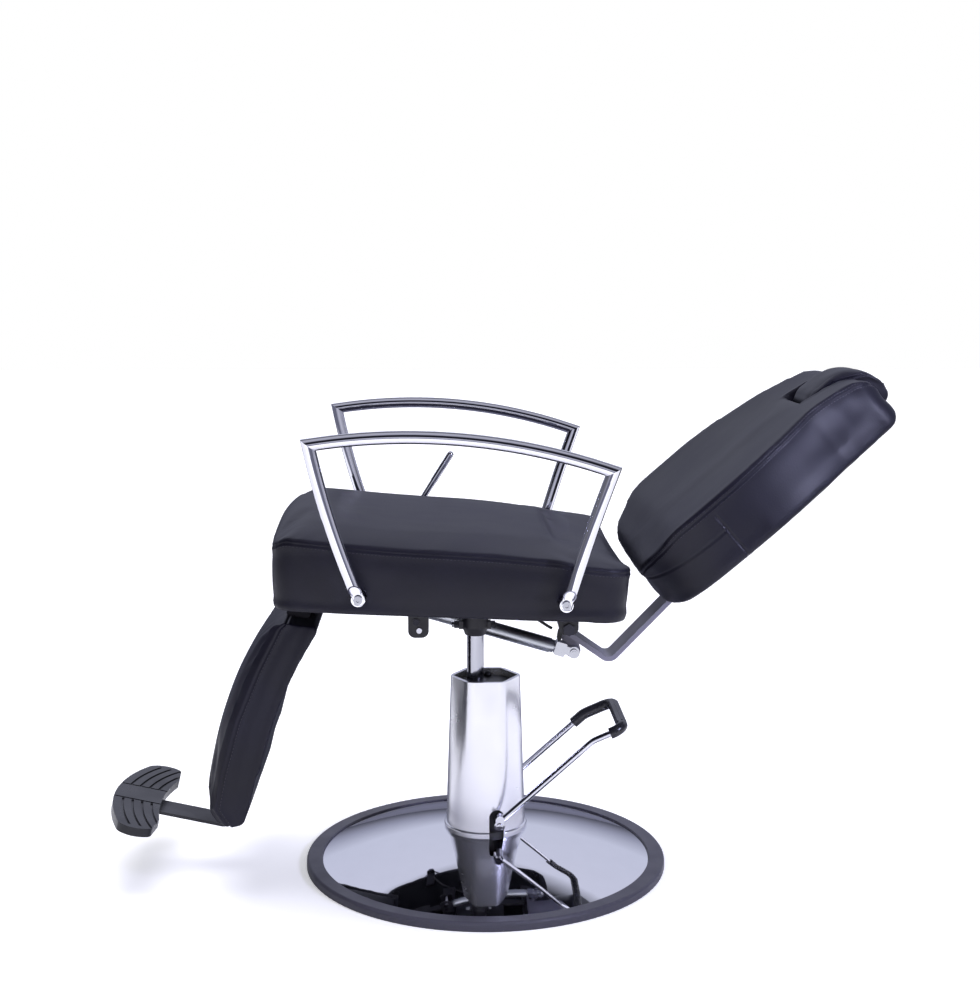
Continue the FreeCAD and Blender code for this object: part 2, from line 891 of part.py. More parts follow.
def piston_head():
    low = rod_low - piston_thickness
    return rod(V(0, lift_y, low), V(0, lift_y, rod_low), lift_bore_radius - running_clearance)


def piston_seal():
    low = rod_low
    outer = lift_bore_radius - running_clearance
    inner = rod_radius + running_clearance
    return sleeve(V(0, lift_y, low), V(0, lift_y, low + seal_thickness), outer, inner)


def socket_ear_ends():
    """Front and rear of the socket's two bosses, where the bolt's nut and head sit."""
    return lift_y - socket_radius - socket_ear_front, lift_y + socket_radius + socket_ear_rear


def mount_socket():
    """Cast socket: a rounded cup that clamps the rod under the seat plate."""
    low = socket_low
    outline = rounded_outline([
        V(rod_radius, 0, low),
        V(socket_neck_radius, 0, low),
        V(socket_radius, 0, low + socket_round_height),
        V(socket_radius, 0, seat_z + 30),
        V(rod_radius, 0, seat_z + 30),
    ], [0, 2.0, 6.0, 0, 0])
    cup = Part.Face(outline).revolve(V(0, 0, 0), Z_AXIS, 360)
    cup.translate(V(0, lift_y, 0))
    top = Part.makeCylinder(socket_radius, 30, V(0, lift_y, seat_z))
    front, rear = socket_ear_ends()
    ears = block(-9, 9, front, rear, socket_bolt_z - 6, socket_bolt_z + 6)
    ears = ears.cut(rod(V(0, lift_y, low - 5), V(0, lift_y, seat_z), rod_radius + 3))
    cup = join([cup, top, ears])
    cup = cup.cut(raked(block(-60, 60, -60, 60, plate_low, plate_low + 60)))
    return cup.cut(rod(V(0, lift_y - 60, socket_bolt_z), V(0, lift_y + 60, socket_bolt_z), socket_bolt_radius))


def socket_bolt():
    front, rear = socket_ear_ends()
    nut_end = front - socket_nut_height
    shank = rod(V(0, nut_end - 4, socket_bolt_z), V(0, rear, socket_bolt_z), socket_bolt_radius)
    nut = hex_prism(V(0, nut_end, socket_bolt_z), Y_AXIS, socket_bolt_flats, socket_nut_height)
    head = hex_prism(V(0, rear, socket_bolt_z), Y_AXIS, socket_bolt_flats, socket_head_height)
    return join([shank, nut, head])


def mount_bolt_places():
    places = []
    for side in (-1, 1):
        for y in (plate_front + 18, plate_rear - 18):
            places.append((side * chassis_rail_x, y))
    return places


def mount_plate():
    solid = plate([
        V(-plate_half_width, plate_front, plate_low),
        V(plate_half_width, plate_front, plate_low),
        V(plate_half_width, plate_rear, plate_low),
        V(-plate_half_width, plate_rear, plate_low),
    ], [12.0] * 4, V(0, 0, plate_thickness))
    for x, y in mount_bolt_places():
        solid = solid.cut(rod(V(x, y, plate_low - 5), V(x, y, plate_low + 20), mount_bolt_radius))
    return raked(solid)


def mount_bolts():
    bolts = []
    for x, y in mount_bolt_places():
        shank = rod(V(x, y, plate_low), V(x, y, chassis_low + chassis_wall + 6), mount_bolt_radius)
        head = hex_prism(V(x, y, plate_low), V(0, 0, -1), mount_bolt_flats, mount_head_height)
        nut = hex_prism(V(x, y, chassis_low + chassis_wall), Z_AXIS, mount_bolt_flats, mount_head_height)
        bolts.append(raked(join([shank, head, nut])))
    return group(bolts)


def box_tube(x0, x1, y0, y1, along):
    """Square steel tube lying along X or Y at the chassis height."""
    outer = block(x0, x1, y0, y1, chassis_low, chassis_top)
    wall = chassis_wall
    low = chassis_low + wall
    high = chassis_top - wall
    if along == "x":
        return outer.cut(block(x0 - 1, x1 + 1, y0 + wall, y1 - wall, low, high))
    return outer.cut(block(x0 + wall, x1 - wall, y0 - 1, y1 + 1, low, high))


def cross_member_places():
    """Front, middle and rear of each cross tube, over the brackets that hang from them."""
    centre = (front_plate_front + front_plate_rear) / 2.0 - lift_y
    hinge = hinge_y - lift_y
    return [(centre - 18, centre + 18), (hinge - 18, hinge + 15)]


def seat_chassis():
    half = chassis_rail_width / 2.0
    pieces = []
    for side in (-1, 1):
        centre = side * chassis_rail_x
        pieces.append(box_tube(centre - half, centre + half, chassis_front, chassis_rear, "y"))
    inner = chassis_rail_x - half
    outer = chassis_rail_x + half
    for y0, y1 in cross_member_places():
        pieces.append(box_tube(-inner, inner, y0, y1, "x"))
        pieces.append(box_tube(outer, cross_member_reach, y0, y1, "x"))
        pieces.append(box_tube(-cross_member_reach, -outer, y0, y1, "x"))
    frame = join(pieces)
    for x, y in mount_bolt_places():
        high = chassis_low + chassis_wall + 1
        frame = frame.cut(rod(V(x, y, chassis_low - 1), V(x, y, high), mount_bolt_radius))
    return raked(frame)


def seat_board():
    w = board_half_width
    board = plate([
        V(-w, board_front, chassis_top), V(w, board_front, chassis_top),
        V(w, board_rear, chassis_top), V(-w, board_rear, chassis_top),
    ], [30.0, 30.0, 30.0, 30.0], V(0, 0, board_thickness))
    return raked(board)


def arm_rail_solids():
    rails = []
    outer = arm_rail_outer
    inner = outer - arm_rail_width
    for side in (-1, 1):
        x0, x1 = sorted((side * inner, side * outer))
        high = board_top + arm_rail_height
        rail = block(x0, x1, arm_bolt_front - 26, arm_bolt_rear + 26, board_top, high)
        rails.append(rail)
    return rails


def arm_rails():
    rails = []
    for rail in arm_rail_solids():
        solid = rail
        for y in (arm_bolt_front, arm_bolt_rear):
            solid = solid.cut(across(-400, 400, y, arm_bolt_w, arm_bolt_radius))
        rails.append(raked(solid))
    return group(rails)


def cushion_plan(w, draw):
    """Rounded outline of the cushion at one height, with bowed sides."""
    half = cushion_half_width - draw
    front = cushion_front + draw
    rear = cushion_rear - draw
    corner = cushion_corner
    ease = corner * (1 - math.sqrt(0.5))
    middle = (front + rear) / 2
    out = half + cushion_side_bow
    inner = half - corner
    eased = half - ease
    return Part.Wire([
        arc(V(-inner, front, w), V(0, front - cushion_front_bow, w), V(inner, front, w)),
        arc(V(inner, front, w), V(eased, front + ease, w), V(half, front + corner, w)),
        arc(V(half, front + corner, w), V(out, middle, w), V(half, rear - corner, w)),
        arc(V(half, rear - corner, w), V(eased, rear - ease, w), V(inner, rear, w)),
        arc(V(inner, rear, w), V(0, rear + cushion_rear_bow, w), V(-inner, rear, w)),
        arc(V(-inner, rear, w), V(-eased, rear - ease, w), V(-half, rear - corner, w)),
        arc(V(-half, rear - corner, w), V(-out, middle, w), V(-half, front + corner, w)),
        arc(V(-half, front + corner, w), V(-eased, front + ease, w), V(-inner, front, w)),
    ])


def cushion_side(x, crown, rear_drop, swell):
    """Outline across X: rounded front edge, top that falls to the rear, sloping underside."""
    straight = cushion_half_width - cushion_corner
    bow = cushion_front_bow * (1 - (x / straight) ** 2)
    front = cushion_front - bow - cushion_overlap
    shoulder = front + cushion_front_round + cushion_overlap
    rear = cushion_rear + cushion_rear_bow + 12
    top_front = cushion_crest_front - cushion_front_drop
    ease = 1 - math.sqrt(0.5)
    a = V(x, front, top_front + crown * 0.3)
    b = V(x, shoulder, cushion_crest_front + crown)
    d = V(x, rear, cushion_crest_rear - rear_drop)
    edge = V(x, a.y + (b.y - a.y) * ease, b.z - (b.z - a.z) * ease)
    return Part.Wire([
        arc(a, edge, b),
        arc(b, V(x, (b.y + d.y) / 2, (b.z + d.z) / 2 + swell), d),
        line(d, V(x, rear, cushion_low_rear)),
        line(V(x, rear, cushion_low_rear), V(x, front, cushion_low_front)),
        line(V(x, front, cushion_low_front), a),
    ])


def beyond_back_sweep():
    """Space behind and above the hinge that the foot of the backrest swings through."""
    wide = cushion_half_width + 20
    near = hinge_sweep_radius
    edge = hinge_sweep_side_radius
    far = edge + 150
    low_left = V(-wide, hinge_y, hinge_z + edge)
    low_right = V(wide, hinge_y, hinge_z + edge)
    high_left = V(-wide, hinge_y, hinge_z + far)
    high_right = V(wide, hinge_y, hinge_z + far)
    section = Part.Wire([
        arc(low_left, V(0, hinge_y, hinge_z + near), low_right),
        line(low_right, high_right),
        line(high_right, high_left),
        line(high_left, low_left),
    ])
    face = Part.Face(section)
    face.rotate(V(0, hinge_y, hinge_z), X_AXIS, 12)
    return face.revolve(V(0, hinge_y, hinge_z), X_AXIS * -1, 82)


def seat_cushion():
    low = min(cushion_low_front, cushion_low_rear) - 2
    high = cushion_crest_front + cushion_crown + 10
    middle = (low + high) / 2.0
    plan = Part.makeLoft([
        cushion_plan(low, cushion_draw), cushion_plan(middle, 0), cushion_plan(high, cushion_draw),
    ], True, False)
    reach = cushion_half_width + 10
    side = Part.makeLoft([
        cushion_side(-reach, -4.0, 4.0, 0.6), cushion_side(0, cushion_crown, -4.0, 3.0),
        cushion_side(reach, -4.0, 4.0, 0.6),
    ], True, False)
    cushion = plan.common(side)
    w = board_half_width
    cushion = cushion.cut(block(-w, w, board_front, board_rear, low - 5, board_top))
    for rail in arm_rail_solids():
        cushion = cushion.cut(rail)
    cushion = raked(cushion).cut(beyond_back_sweep())
    for y in (arm_bolt_front, arm_bolt_rear):
        centre = seat_point(0, y, arm_bolt_w)
        for side_sign in (-1, 1):
            x0 = side_sign * arm_rail_outer
            cushion = cushion.cut(across(x0, x0 + side_sign * 60, centre.y, centre.z, spacer_radius))
    return cushion


def tilted_arm(shape):
    """Lean a shape drawn in the plane X = 0 outwards about the arm's feet."""
    leaned = shape.copy()
    leaned.rotate(V(0, 0, arm_rear_foot[1]), Y_AXIS, arm_lean)
    leaned.translate(V(arm_foot_x, 0, 0))
    return leaned


def bowed(start, end, bulge):
    """Arc between two (y, z) points that bulges away from the chord."""
    a = V(0, start[0], start[1])
    b = V(0, end[0], end[1])
    chord = b - a
    side = V(0, chord.z, -chord.y).normalize()
    return arc(a, (a + b) * 0.5 + side * bulge, b)


def arc_end(edge, at_last, inset):
    """Point and outward direction on an arc, the inset short of its end."""
    curve = edge.Curve
    step = inset / curve.Radius
    turn = edge.LastParameter - step if at_last else edge.FirstParameter + step
    point = curve.value(turn)
    along = curve.Axis.cross((point - curve.Center).normalize())
    return point, along if at_last else along * -1


def bent_bar(edge, radius, corner_first, corner_last):
    """Round bar along an arc; at a corner it runs straight on, at a foot the arc runs on."""
    curve = edge.Curve
    first = arm_corner_run if corner_first else -arm_corner_run
    last = arm_corner_run if corner_last else -arm_corner_run
    start, back = arc_end(edge, False, first)
    end, ahead = arc_end(edge, True, last)
    span = edge.LastParameter - edge.FirstParameter - (first + last) / curve.Radius
    ring = Part.Face(Part.Wire(Part.makeCircle(radius, start, back * -1)))
    pieces = [ring.revolve(curve.Center, curve.Axis, math.degrees(span))]
    if corner_first:
        pieces.append(rod(start, start + back * 3 * arm_corner_run, radius))
    if corner_last:
        pieces.append(rod(end, end + ahead * 3 * arm_corner_run, radius))
    return pieces


def meeting_point(point_a, along_a, point_b, along_b):
    """Where two lines in the plane X = 0 cross."""
    offset = point_b - point_a
    across_b = V(0, -along_b.z, along_b.y)
    return point_a + along_a * (offset.dot(across_b) / along_a.dot(across_b))


def half_space(origin, direction):
    """Large block on the side of a plane that the direction points to."""
    size = 300.0
    cube = Part.makeBox(size * 2, size * 2, size * 2, V(-size, -size, 0))
    cube.Placement = FreeCAD.Placement(origin, FreeCAD.Rotation(Z_AXIS, direction)).multiply(cube.Placement)
    return cube


def arm_form(radius):
    """Three bent tubes mitred at two sharp corners, solid, in the plane X = 0."""
    front = bowed(arm_front_foot, arm_front_top, -arm_front_bulge)
    rear = bowed(arm_rear_top, arm_rear_foot, arm_rear_bulge)
    rail = arc(V(0, *arm_front_top), V(0, *arm_rail_middle), V(0, *arm_rear_top))
    legs = [join(bent_bar(front, radius, False, True)), join(bent_bar(rear, radius, True, False))]
    rail_tube = join(bent_bar(rail, radius, True, True))
    for index, leg in enumerate((front, rear)):
        leg_point, leg_along = arc_end(leg, index == 0, arm_corner_run)
        rail_point, rail_along = arc_end(rail, index == 1, arm_corner_run)
        corner = meeting_point(leg_point, leg_along, rail_point, rail_along)
        leg_side = (rail_along - leg_along).normalize()
        legs[index] = legs[index].common(half_space(corner, leg_side))
        rail_tube = rail_tube.cut(half_space(corner, leg_side))
    return rail_tube, legs


def arm_solid(inset):
    """Solid arm with rounded feet, smaller all round by the inset."""
    rail_tube, legs = arm_form(arm_tube_radius - inset)
    trimmed = []
    for leg, foot, top in zip(legs, (arm_front_foot, arm_rear_foot), (arm_front_top, arm_rear_top)):
        up = (V(0, *top) - V(0, *foot)).normalize()
        centre = V(0, *foot) + up * arm_foot_lift
        round_end = across(-30, 30, centre.y, centre.z, arm_foot_round - inset)
        below = half_space(centre, up * -1).cut(round_end)
        trimmed.append(leg.cut(below))
    return join([rail_tube] + trimmed)


def foot_scoop(foot, top):
    """Slanted cut on the outer face that opens the tube round the bolt."""
    up = (V(0, *top) - V(0, *foot)).normalize()
    side = V(0, -up.z, up.y)
    floor = -arm_tube_radius + arm_scoop_skin
    out = arm_tube_radius + 3
    base = V(0, *foot) - side * 20 - up * 20
    corners = [
        base + V(floor, 0, 0), base + V(out, 0, 0),
        base + V(out, 0, 0) + up * (20 + arm_scoop_length),
        base + V(floor, 0, 0) + up * 28,
    ]
    return plate(corners, [0, 0, 0, 6.0], side * 40)


def arm(side):
    """Hollow bent tube whose feet are scooped open on the outside."""
    void = arm_solid(arm_tube_wall)
    floor = -arm_tube_radius + arm_scoop_skin
    for foot in (arm_front_foot, arm_rear_foot):
        y, z = foot
        void = void.cut(block(-30, floor, y - 40, y + 40, z - 40, z + arm_scoop_length + 8))
    tube = arm_solid(0).cut(void)
    for foot, top in ((arm_front_foot, arm_front_top), (arm_rear_foot, arm_rear_top)):
        tube = tube.cut(foot_scoop(foot, top))
    tube = tilted_arm(tube)
    for y in (arm_bolt_front, arm_bolt_rear):
        centre = seat_point(0, y, arm_bolt_w)
        tube = tube.cut(across(200, 400, centre.y, centre.z, arm_bolt_radius))
    return tube if side > 0 else mirrored(tube)


def arm_spacers():
    outer = tilted_arm(arm_solid(0))
    spacers = []
    for y in (arm_bolt_front, arm_bolt_rear):
        centre = seat_point(0, y, arm_bolt_w)
        stub = across(arm_rail_outer, arm_foot_x - 4, centre.y, centre.z, spacer_radius)
        stub = stub.cut(outer).cut(across(200, 400, centre.y, centre.z, arm_bolt_radius))
        stub = max(stub.Solids, key=lambda solid: solid.Volume)
        spacers.append(stub)
        spacers.append(mirrored(stub))
    return group(spacers)


def arm_bolts():
    bolts = []
    for foot, y in ((arm_front_foot, arm_bolt_front), (arm_rear_foot, arm_bolt_rear)):
        centre = seat_point(0, y, arm_bolt_w)
        lean = math.tan(math.radians(arm_lean))
        seat_x = arm_foot_x - arm_tube_radius + arm_scoop_skin + (centre.z - arm_rear_foot[1]) * lean
        inner = arm_rail_outer - arm_rail_width
        shank = across(inner, seat_x + 1.5, centre.y, centre.z, arm_bolt_radius)
        head = across(seat_x + 0.6, seat_x + 0.6 + bolt_head_height, centre.y, centre.z, bolt_head_radius)
        bolt = join([shank, head])
        socket = hex_prism(V(seat_x + 3, centre.y, centre.z), X_AXIS, 5.0, 6.0)
        bolt = bolt.cut(socket)
        bolts.append(bolt)
        bolts.append(mirrored(bolt))
    return group(bolts)


def under_chassis(shape):
    """Trim a plate flush with the underside of the chassis."""
    return shape.cut(raked(block(-400, 400, -500, 500, chassis_low, chassis_low + 200)))


def front_bracket_holes():
    """Gas spring pin, spare bolt and end screw, each as y, z and radius."""
    return [
        (gas_front_y, gas_front_z, gas_pin_radius),
        (gas_front_y, front_bolt_z, gas_pin_radius),
        (gas_front_y + 5, front_screw_z, front_screw_radius),
    ]


def front_bracket():
    high = seat_z + 60
    plates = []
    half_gap = front_plate_gap / 2.0
    for side in (-1, 1):
        x0 = gas_x + side * half_gap
        x1 = x0 + side * front_plate_thickness
        cheek = side_plate(x0, x1, [
            (front_plate_front, front_plate_low), (front_plate_rear, front_plate_low),
            (front_plate_rear, high), (front_plate_front, high),
        ], [bracket_corner, bracket_corner, 0, 0])
        for y, z, radius in front_bracket_holes():
            cheek = cheek.cut(across(x0 - side, x1 + side, y, z, radius))
        plates.append(cheek)
    half = half_gap + front_plate_thickness
    web = block(gas_x - half, gas_x + half, front_plate_front, front_plate_rear, seat_z, high)
    web = web.cut(raked(block(-400, 400, -500, 500, chassis_low - 200, chassis_low - bracket_web)))
    return under_chassis(join(plates + [web]))


def front_bracket_pins():
    half = front_plate_gap / 2.0 + front_plate_thickness
    pins = []
    for y, z, radius in front_bracket_holes():
        shank = across(gas_x - half - 6, gas_x + half, y, z, radius)
        head = across(gas_x + half, gas_x + half + 3, y, z, radius + 1.6)
        nut = hex_prism(V(gas_x - half, y, z), X_AXIS * -1, radius * 2.75, 5.0)
        pins.append(join([shank, head, nut]))
    return group(pins)


def hinge_bracket():
    plates = []
    high = seat_z + 60
    for side in (-1, 1):
        x0 = side * hinge_plate_inner_x
        x1 = x0 + side * hinge_plate_thickness
        y0 = hinge_y - hinge_plate_half
        y1 = hinge_y + hinge_plate_half
        cheek = side_plate(x0, x1, [
            (y0, hinge_plate_low), (y1, hinge_plate_low), (y1, high), (y0, high),
        ], [bracket_corner, bracket_corner, 0, 0])
        plates.append(cheek.cut(across(x0 - side, x1 + side, hinge_y, hinge_z, hinge_pin_radius)))
    reach = hinge_plate_inner_x + hinge_plate_thickness
    web = block(-reach, reach, hinge_y - hinge_plate_half, hinge_y + hinge_plate_half, seat_z - 20, high)
    web = web.cut(raked(block(-400, 400, -500, 500, chassis_low - 200, chassis_low - bracket_web)))
    return under_chassis(join(plates + [web]))


def hinge_pin():
    reach = hinge_plate_inner_x + hinge_plate_thickness
    shank = across(-reach - hinge_thread_reach, reach, hinge_y, hinge_z, hinge_pin_radius)
    head = hex_prism(V(reach, hinge_y, hinge_z), X_AXIS, hinge_pin_flats, hinge_head_height)
    nut = hex_prism(V(-reach, hinge_y, hinge_z), X_AXIS * -1, hinge_pin_flats, hinge_nut_height)
    return join([shank, head, nut])


def back_bar_path():
    """Upper face of the flat bar: down from the knuckle, round the vertex, up along the pad."""
    angle = math.radians(bar_drop_angle)
    run = (bar_vertex_y - hinge_y + 4.0) / math.cos(angle)
    start = (bar_vertex_y - run * math.cos(angle), bar_vertex_z + run * math.sin(angle))
    rise = back_point(0, bar_pad_start, rear_face())
    top = back_point(0, bar_pad_end, rear_face())
    return [start, (bar_vertex_y, bar_vertex_z), (rise.y, rise.z), (top.y, top.z)]


def back_bar():
    bar = strip(-bar_half_width, bar_half_width, back_bar_path(), bar_thickness, bar_bend_radius)
    half = hinge_plate_inner_x - knuckle_gap
    knuckle = across(-half, half, hinge_y, hinge_z, knuckle_radius)
    lug_end = lug_x + lug_thickness
    direction = (V(0, gas_rear_y, gas_rear_z) - V(0, hinge_y, hinge_z)).normalize()
    side = V(0, -direction.z, direction.y) * lug_round
    far = V(lug_x, gas_rear_y, gas_rear_z) + direction * lug_round
    near = V(lug_x, hinge_y, hinge_z)
    end_round = lug_round * 0.98
    lug = plate([near - side, far - side, far + side, near + side], [0, end_round, end_round, 0],
                V(lug_thickness, 0, 0))
    bar = join([bar, knuckle, lug])
    bar = bar.cut(across(-half - 5, half + 5, hinge_y, hinge_z, hinge_pin_radius + running_clearance))
    bar = bar.cut(across(lug_x - 5, lug_end + 1, gas_rear_y, gas_rear_z, gas_pin_radius))
    for x, s in back_bolt_places():
        bar = bar.cut(rod(back_point(x, s, -90), back_point(x, s, -40), back_bolt_radius))
    return bar


def back_bolt_places():
    """Each bolt's x and s on the pad of the flat bar."""
    return [(x, s) for x in (-back_bolt_x, back_bolt_x) for s in (bar_pad_start + 30, bar_pad_end - 20)]


def back_bolts():
    bolts = []
    face = rear_face() - bar_thickness
    for x, s in back_bolt_places():
        seat = back_point(x, s, face)
        shank = rod(seat, back_point(x, s, rear_face() + back_bolt_length), back_bolt_radius)
        head = rod(back_point(x, s, face - back_bolt_head_height), seat, back_bolt_head_radius)
        bolts.append(join([shank, head]))
    return group(bolts)


def on_outline(place, sign, t):
    """A point of the back's outline on one side, from its half-width and its s."""
    return V(sign * place[0], place[1], t)


def back_outline_side(sign, t):
    """One side of the back's half-pear outline, from the foot up to the corner of the top."""
    low = V(sign * back_low_half, back_low, t)
    wide_low = V(sign * back_half_width, back_wide_low, t)
    wide_high = V(sign * back_half_width, back_wide_high, t)
    waist = V(sign * back_waist_half, back_waist, t)
    shoulder = V(sign * back_shoulder_half, back_shoulder, t)
    corner = V(sign * back_corner_half, back_corner, t)
    return [
        arc(low, on_outline(back_foot_arc, sign, t), wide_low),
        line(wide_low, wide_high),
        arc(wide_high, on_outline(back_upper_arc, sign, t), waist),
        arc(waist, on_outline(back_neck_arc, sign, t), shoulder),
        arc(shoulder, on_outline(back_corner_arc, sign, t), corner),
    ]


def back_outline(t):
    """Half-pear outline of the back cushion, drawn with s along Y."""
    sides = back_outline_side(1, t) + back_outline_side(-1, t)
    corner = (back_corner_half, back_corner)
    foot = (back_low_half, back_low)
    crown = arc(on_outline(corner, 1, t), V(0, back_top, t), on_outline(corner, -1, t))
    base = arc(on_outline(foot, -1, t), V(0, back_low - 4, t), on_outline(foot, 1, t))
    return Part.Wire(Part.__sortEdges__(sides + [crown, base]))


def back_side(x, dish, rear):
    """Outline across X: dished front, rounded nose and top end, crowned rear."""
    low = back_low - 8
    high = back_end
    nose = back_low + back_nose
    turn = high - back_end_round
    f = back_front - dish
    r = back_rear - rear
    return Part.Wire([
        arc(V(x, low, f - 30), V(x, low + 10, f - 11), V(x, nose, f)),
        line(V(x, nose, f), V(x, turn, f)),
        arc(V(x, turn, f), V(x, high - 29, f - 4), V(x, high - 11, f - 14)),
        arc(V(x, high - 11, f - 14), V(x, high - 3, f - 23), V(x, high, f - 36)),
        line(V(x, high, f - 36), V(x, high, r + 8)),
        arc(V(x, high, r + 8), V(x, high - 11, r - 3), V(x, high - 29, r - 6)),
        arc(V(x, high - 29, r - 6), V(x, (low + high) / 2, r - 3), V(x, low + 52, r - 1)),
        arc(V(x, low + 52, r - 1), V(x, low + 18, r + 7), V(x, low, r + 24)),
        line(V(x, low, r + 24), V(x, low, f - 30)),
    ])


def back_form():
    plan = Part.Face(back_outline(-90)).extrude(V(0, 0, 180))
    reach = back_half_width + 10
    side = Part.makeLoft([
        back_side(-reach, 0, -8), back_side(0, back_dish, back_rear_crown), back_side(reach, 0, -8),
    ], True, False)
    return plan.common(side)


def rear_face():
    """Where the flat bar and the rear panel meet, behind the foam."""
    return back_rear - back_rear_crown - 2.5


def back_rear_panel_solid(behind):
    """Plywood board behind the foam, bolted to the flat bar; it can be drawn thicker to the rear."""
    low = back_low + back_board_margin
    high = notch_low - 20
    face = rear_face() - behind
    w = back_board_half
    return plate([
        V(-w, low, face), V(w, low, face), V(w, high, face), V(-w, high, face),
    ], [30.0] * 4, V(0, 0, back_board_thickness + behind))


def notch():
    w = notch_half_width
    high = back_top + 60
    return plate([
        V(-w, notch_low, -120), V(w, notch_low, -120), V(w, high, -120), V(-w, high, -120),
    ], [10.0, 10.0, 0, 0], V(0, 0, 240))


def guide_solids(radius):
    return [rod(V(side * post_x, guide_low, post_t), V(side * post_x, notch_low + 0.5, post_t), radius)
            for side in (-1, 1)]


def back_cushion():
    cushion = back_form().cut(notch())
    cushion = cushion.cut(back_rear_panel_solid(20.0))
    for guide in guide_solids(post_radius + post_clearance + guide_wall):
        cushion = cushion.cut(guide)
    deep = rear_face() + back_bolt_length
    for x, s in back_bolt_places():
        cushion = cushion.cut(rod(V(x, s, -90), V(x, s, deep), back_bolt_radius))
    return reclined(cushion)


def back_rear_panel():
    panel = back_rear_panel_solid(0)
    for x, s in back_bolt_places():
        panel = panel.cut(rod(V(x, s, -90), V(x, s, 0), back_bolt_radius))
    return reclined(panel)


def headrest_guides():
    guides = []
    for side in (-1, 1):
        low = V(side * post_x, guide_low, post_t)
        high = V(side * post_x, notch_low, post_t)
        bore = rod(low + V(0, 3, 0), high + V(0, 1, 0), post_radius + post_clearance)
        guides.append(rod(low, high, post_radius + post_clearance + guide_wall).cut(bore))
    return group([reclined(guide) for guide in guides])


def headrest_section(x, inset):
    """Outline of the pad across X: full front, rounded top, flat foot."""
    low = headrest_low + inset
    top = headrest_top - inset
    front = headrest_front - inset
    rear = headrest_rear + inset
    return Part.Wire([
        line(V(x, low, rear + 8), V(x, low, front - 14)),
        arc(V(x, low, front - 14), V(x, low + 9, front - 3.5), V(x, low + 30, front)),
        line(V(x, low + 30, front), V(x, top - 66, front)),
        arc(V(x, top - 66, front), V(x, top - 16, front - 24.5), V(x, top, front - 60)),
        line(V(x, top, front - 60), V(x, top, rear + 14)),
        arc(V(x, top, rear + 14), V(x, top - 6, rear + 4.5), V(x, top - 19, rear)),
        line(V(x, top - 19, rear), V(x, low + 30, rear)),
        line(V(x, low + 30, rear), V(x, low, rear + 8)),
    ])


def headrest_pad():
    w = headrest_half_width
    pad = Part.makeLoft([
        headrest_section(-w, 6.0), headrest_section(-w * 0.8, 1.5), headrest_section(0, 0),
        headrest_section(w * 0.8, 1.5), headrest_section(w, 6.0),
    ], True, False)
    for side in (-1, 1):
        low = V(side * post_x, headrest_low - 20, post_t)
        pad = pad.cut(rod(low, V(side * post_x, headrest_low + post_depth, post_t), post_radius))
    return reclined(pad)


def headrest_posts():
    posts = []
    for side in (-1, 1):
        high = V(side * post_x, headrest_low + post_depth, post_t)
        post = rod(V(side * post_x, post_low, post_t), high, post_radius)
        posts.append(reclined(post))
    return group(posts)


def along_gas(distance, x=gas_x):
    point = gas_front + gas_line * distance
    return V(x, point.y, point.z)


def gas_cylinder():
    half = front_plate_gap / 2.0 - 1.0
    eye = across(gas_x - half, gas_x + half, gas_front_y, gas_front_z, gas_eye_radius)
    neck = rod(along_gas(0), along_gas(gas_tube_start), gas_neck_radius)
    tube = rod(along_gas(gas_tube_start), along_gas(gas_tube_end), gas_tube_radius)
    collar_end = gas_tube_end + gas_collar_length
    collar = rod(along_gas(gas_tube_end), along_gas(collar_end), gas_tube_radius - 1.5)
    body = join([eye, neck, tube, collar])
    body = body.cut(rod(along_gas(gas_rod_start - 60), along_gas(gas_tube_end + 20), gas_tube_bore))
    bore = gas_pin_radius + running_clearance
    return body.cut(across(gas_x - 30, gas_x + 30, gas_front_y, gas_front_z, bore))


def gas_rod():
    return rod(along_gas(gas_rod_start), along_gas(head_start), gas_rod_radius)


def release_head():
    """Chrome block on the rod's end, with a clevis eye for the rear pin."""
    start = along_gas(head_start)
    half = head_half
    up = gas_normal * half
    width = V(2 * half, 0, 0)
    corner = start - up - V(half, 0, 0)
    run = gas_line * head_length
    block_part = plate([corner, corner + run, corner + run + up * 2, corner + up * 2], [3.0] * 4, width)
    eye_half = gas_eye_width / 2
    eye = across(gas_x - eye_half, gas_x + eye_half, gas_rear_y, gas_rear_z, gas_eye_radius + 1)
    neck_end = along_gas(gas_length)
    neck_start = along_gas(head_start + head_length - 2)
    side = gas_normal * 7.0
    neck_x = V(gas_eye_width, 0, 0)
    base = V(-eye_half, 0, 0)
    neck = plate([neck_start - side + base, neck_end - side + base, neck_end + side + base,
                  neck_start + side + base], [0] * 4, neck_x)
    head = join([block_part, eye, neck])
    bore = gas_pin_radius + running_clearance
    return head.cut(across(gas_x - 30, gas_x + 30, gas_rear_y, gas_rear_z, bore))


def gas_rear_pin():
    near = gas_x + gas_eye_width / 2
    shank = across(lug_x - 7, near + 5, gas_rear_y, gas_rear_z, gas_pin_radius)
    head = across(near + 1, near + 4, gas_rear_y, gas_rear_z, gas_pin_radius + 2.5)
    nut = hex_prism(V(lug_x, gas_rear_y, gas_rear_z), X_AXIS * -1, 11.0, 5.0)
    return join([shank, head, nut])


def tab_pivot():
    """Where the release tab turns, on the upper edge of the chrome head."""
    return along_gas(head_start + 3.0) + gas_normal * (head_half + 4.0)


def release_tab():
    pivot = tab_pivot()
    low = V(gas_x - tab_thickness, pivot.y, pivot.z)
    tip = low + gas_normal * tab_length + gas_line * -2
    hub = across(gas_x - tab_hub_half, gas_x + tab_hub_half, pivot.y, pivot.z, tab_hub_radius)
    side = gas_line * tab_thickness
    outline = [low - side, low + side, tip + side, tip - side]
    blade = plate(outline, [0, 0, 3.0, 3.0], V(2 * tab_thickness, 0, 0))
    return join([hub, blade])


